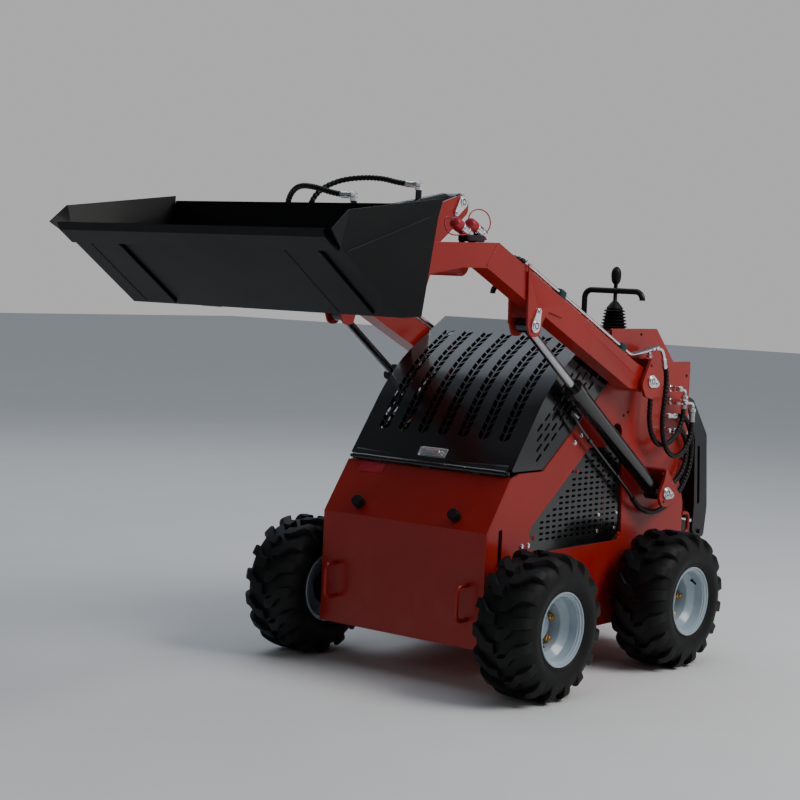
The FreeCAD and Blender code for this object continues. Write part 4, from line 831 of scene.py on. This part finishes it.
def hose_surface(points, level=(1.0, 0.0, 0.0)):
    """Hose in its spiral guard: the radius is the hose's plus a rounded band that winds once every pitch."""
    line = smooth_line(points, 1.8)
    sides = 16
    phase = np.arange(sides)[None] / sides + run_along(line)[:, None] / guard_pitch
    band = abs(np.cos(pi * phase)) ** 0.6
    return along_line(line, hose_r - 1.9 + 2.6 * band, sides, level)


def ferrule(start, direction, length=34.0, r=10.6):
    """Crimped sleeve over a hose's end: six shallow grooves between plain ends."""
    profile = [(0, 7.5), (1, r)]
    for i in range(5):
        at = 5.0 + i * (length - 10.0) / 5
        profile += [(at, r), (at + 0.8, r - 1.0), (at + 3.2, r - 1.0), (at + 4.0, r)]
    return turned(profile + [(length - 1, r), (length, r - 1.5)], start, direction, 24)


# Name, fitting's plane, its legs and the hose's route as (y, z), the route at a depth of its own, then
# the two bodies and the two places around where it goes over; the piece is not blended between them
side_hoses = (
    ("hose_to_arm_front", 1, ((568, 931), (612, 925), (607, 866)),
     ((602.7, 815, 372), (557, 760, 372), (497, 738, 372), (441, 741, 372), (397, 776, 372), (377, 831, 372),
      (380, 893, 372), (384, 950, 368), (384, 1005, 362), (376, 1046, 360)),
     ("chassis", "boom", (372, 380, 880), (362, 380, 1040))),
    ("hose_to_arm_rear", 2, ((573, 886), (636, 880), (634, 820)),
     ((632.13, 764, 392), (594, 714, 392), (536, 694, 392), (479, 713, 392), (442, 762, 392),
      (430, 825, 392), (438, 891, 392), (451, 961, 390), (446, 1005, 387), (434, 1034, 385)),
     ("chassis", "boom", (392, 432, 850), (386, 436, 1030))),
    ("hose_to_lift_far", 0, ((531, 837), (600, 833)),
     ((655, 829.8, 352), (694, 787, 352), (712, 732, 352), (711, 674, 352), (692, 619, 352), (654, 575, 352),
      (603, 540, 352), (546, 514, 352), (486, 503, 352), (428, 507, 354), (372, 523, 357), (338, 544, 358),
      (316, 563, 358)),
     ("chassis", "lift_barrel_left", (352, 600, 545), (357, 380, 530))),
    ("hose_to_lift_near", 0, ((540, 784), (585, 782.7)),
     ((642, 781.05, 352), (676, 735, 352), (676, 677, 352), (648, 626, 352), (600, 597, 352),
      (549, 586, 354), (513, 583, 360), (478, 583, 368), (452, 584, 372)),
     ("chassis", "lift_barrel_left", (352, 600, 590), (370, 470, 584))),
)
fittings = []
for name, plane, legs, route, joint in side_hoses:
    x = hose_planes[plane]
    y, z = legs[0]
    for low, high, size in ((0.0, 11.0, 13.5), (12.0, 15.0, 9.0), (15.0, x - half_body - 9.0, 11.5)):
        if high > low:
            nut_profile = [(low, 0.9 * size), (low + 1, size), (high - 1, size), (high, 0.9 * size)]
            fittings.append(turned(nut_profile, (half_body, y, z), (1, 0, 0), 6 if size > 10 else 24))
    fittings.append(turned([(-12, 8.5), (-9, 10.5), (9, 10.5), (12, 8.5), (13, 2)], (x, y, z),
                           (1, 0, 0), 24))
    points = [np.array((x, *leg)) for leg in legs]
    last, before = points[-1], points[-2]
    way = (last - before) / np.linalg.norm(last - before)
    if len(points) > 2:
        bend = [points[0], 0.45 * points[0] + 0.55 * points[1], points[1],
                0.6 * points[1] + 0.4 * points[2], points[2]]
        fittings.append(along_line(smooth_line(bend, 2.0), 6.5, 18))
        start = points[1] + (last - points[1]) * 0.3
        fittings.append(turned([(0, 10.0), (1, 11.5), (12, 11.5), (13, 10.0)], start, way, 6))
        fittings.append(ferrule(start + way * 13.0, way, 36.0))
    else:
        fittings.append(turned([(10, 10.0), (11, 11.5), (24, 11.5), (25, 9.5)], points[0], way, 6))
        fittings.append(ferrule(points[0] + way * 25.0, way, 34.0))
    hose_points = [tuple(last - way * 6.0), tuple(last)] + [(px, py, pz) for py, pz, px in route]
    piece(name + "_guarded", [hose_surface(hose_points)], "hose_rubber", joint, [name], 60.0)
piece("wall_fittings", fittings, "zinc_steel", "chassis", ["bulkhead_fittings"])

# Elbows behind the left arm
# The two zinc-plated tubes bend down there, each over the end of a hose from the tower's wall.
# Both are brazed to the hard tubes and crimped on their hoses, so they ride with the boom.
elbows = []
for x, end in ((arm_places[1], (434, 1034)), (arm_places[0], (376, 1046))):
    first, last = np.array(tube_line(x, 1)[-1]), np.array((x, *end), float)
    if x > arm_places[0]:
        bend = [first, first + (0, 22, 2), first + (0, 52, 2), last + (0, -8, 26), last]
        way = last - (last + (0, -8, 26))
        sleeve = ferrule(last - way * 0.2, way, 36.0)
    else:
        bend = [first + (0, -6, 0), first + (0, 14, 0), last + (0, 4, 14), last + (0, 0, -8)]
        sleeve = ferrule(last + (0, 0, 4), (0, 5, -26), 34.0)
    elbows += [along_line(smooth_line(bend, 2.0), 6.8, 18), sleeve]
piece("tube_elbows", elbows, "zinc_steel", "boom")

# Tilt cylinder's ports and hoses, and the couplers' hoses
# Both ports stand on top of the barrel. Their hoses cross to the right arm's hard tubes, and
# two short ones join the left arm's tubes to the couplers. All end in crimped ferrules.
port_rows, swivels = [], []
swivel_nut = [(0, 9), (1, 12), (11, 12), (12, 9.5), (13, 9.5), (14, 12.5), (22, 12.5), (24, 10), (24.5, 2)]
for y, low, high in ((-473.0, 1516.0, 1578.0), (-786.0, 1460.0, 1526.0)):
    port_rows.append(turned([(0, 13), (8, 13), (9, 10), (high - low - 22.0, 10)], (0, y, low),
                            (0, 0, 1), 24))
    swivels.append(turned(swivel_nut, (0, y, high - 24.0), (0, 0, 1), 6))
    swivels.append(turned([(0, 10), (2, 11.5), (16, 11.5), (17, 8)], (4, y, high - 6.0), (-1, 0, 0.04), 24))
    swivels.append(ferrule(np.array((-12.0, y, high - 5.5)), (-1, 0, 0.05), 38.0))
piece("tilt_port_stubs", port_rows, "cylinder_black", "tilt_barrel")
piece("tilt_port_swivels", swivels, "zinc_steel", "tilt_barrel")
rear_route = [(-44, -473, 1574), (-80, -473, 1577), (-150, -474, 1592), (-235, -480, 1594),
              (-300, -515, 1582), (-338, -572, 1545), (-352, -598, 1485), (-358, -570, 1424),
              (-360, -500, 1378), (-360, *tube_front)]
front_route = [(-44, -786, 1522), (-84, -786, 1526), (-160, -782, 1545), (-250, -756, 1552),
               (-318, -722, 1528), (-352, -700, 1482), (-374, -668, 1436), (-385, -606, 1413),
               (-385, -510, 1382), (-385, *tube_front)]
level = (0.25, 0.9, 0.35)
piece("tilt_hose_rear", [hose_surface(rear_route, level)], "hose_rubber",
      ("boom", "tilt_barrel", (-340, -580, 1540), (-60, -473, 1574)), (), 60.0)
piece("tilt_hose_front", [hose_surface(front_route, level)], "hose_rubber",
      ("boom", "tilt_barrel", (-340, -705, 1500), (-60, -786, 1522)), (), 60.0)
inner_route = [(360, *tube_front), (355, -430, 1342), (334, -446, 1346), (318, -476, 1342),
               (311, -540, 1344), (311, -620, 1362), (321, -668, 1388), (348, -694, 1402)]
outer_route = [(385, *tube_front), (381, -432, 1346), (356, -450, 1354), (333, -474, 1358),
               (327, -530, 1368), (326, -600, 1380), (333, -635, 1395), (348, -654, 1403)]
coupler_hoses = [hose_surface(inner_route), hose_surface(outer_route)]
piece("coupler_hoses", coupler_hoses, "hose_rubber", "boom", (), 60.0)
tube_way = np.array(arm_top(800.0, 0.0)) - np.array(arm_top(760.0, 0.0))
ferrule_foot = arm_top(772.0, tube_height)
front_ferrules = [ferrule(np.array((side * x, *ferrule_foot)), (0, *tube_way), 36.0)
                  for side in (-1, 1) for x in arm_places]
piece("tube_front_ferrules", front_ferrules, "zinc_steel", "boom")

# Bucket and quick hitch
# The bucket is one bent sheet with welded ends that flare out above a fold, a thick cutting
# edge and two wear bars. It hangs on the quick hitch and is painted satin black.
paint_finish("bucket_black", tone(0.0036, 0.0038, 0.0046), tone(0.0026, 0.0028, 0.0034), 0.4, 0.1, 0.03,
             0.14)
for node in ("bucket", "bucket_edge", "bucket_skids", "quick_hitch"):
    carried(node, 1.0)
end_inner, end_outer = 511.0, 517.0
bar_places = (320.0, 440.0)
outer_seam = ((-1414, 1340), (-1037, 1457))
inner_seam = ((-1420, 1341), (-1187, 1178), (-1090, 1180), (-1031, 1450))
bar_seam = ((-1432, 1338), (-1206, 1178))
lip_seam = (-1439, 1345.5)
seams = [(end_outer, outer_seam, 1.4), (end_inner, inner_seam, 3.0)]
seams += [(x, bar_seam, 2.4) for x in bar_places]
bucket_welds = [weld([(side * x, *place) for place in seam], size)
                for side in (-1, 1) for x, seam, size in seams]
bucket_welds.append(weld([(-end_inner, *lip_seam), (end_inner, *lip_seam)], 5.0, (0.0, 0.0, 1.0)))
piece("bucket_welds", bucket_welds, "bucket_black", "bucket")

# Rear platform
# A fold-up standing plate of folded sheet between two slotted side arms, sprayed black. It hangs
# on the two bolted brackets at the tower's foot.
carried("rear_platform", 1.0)
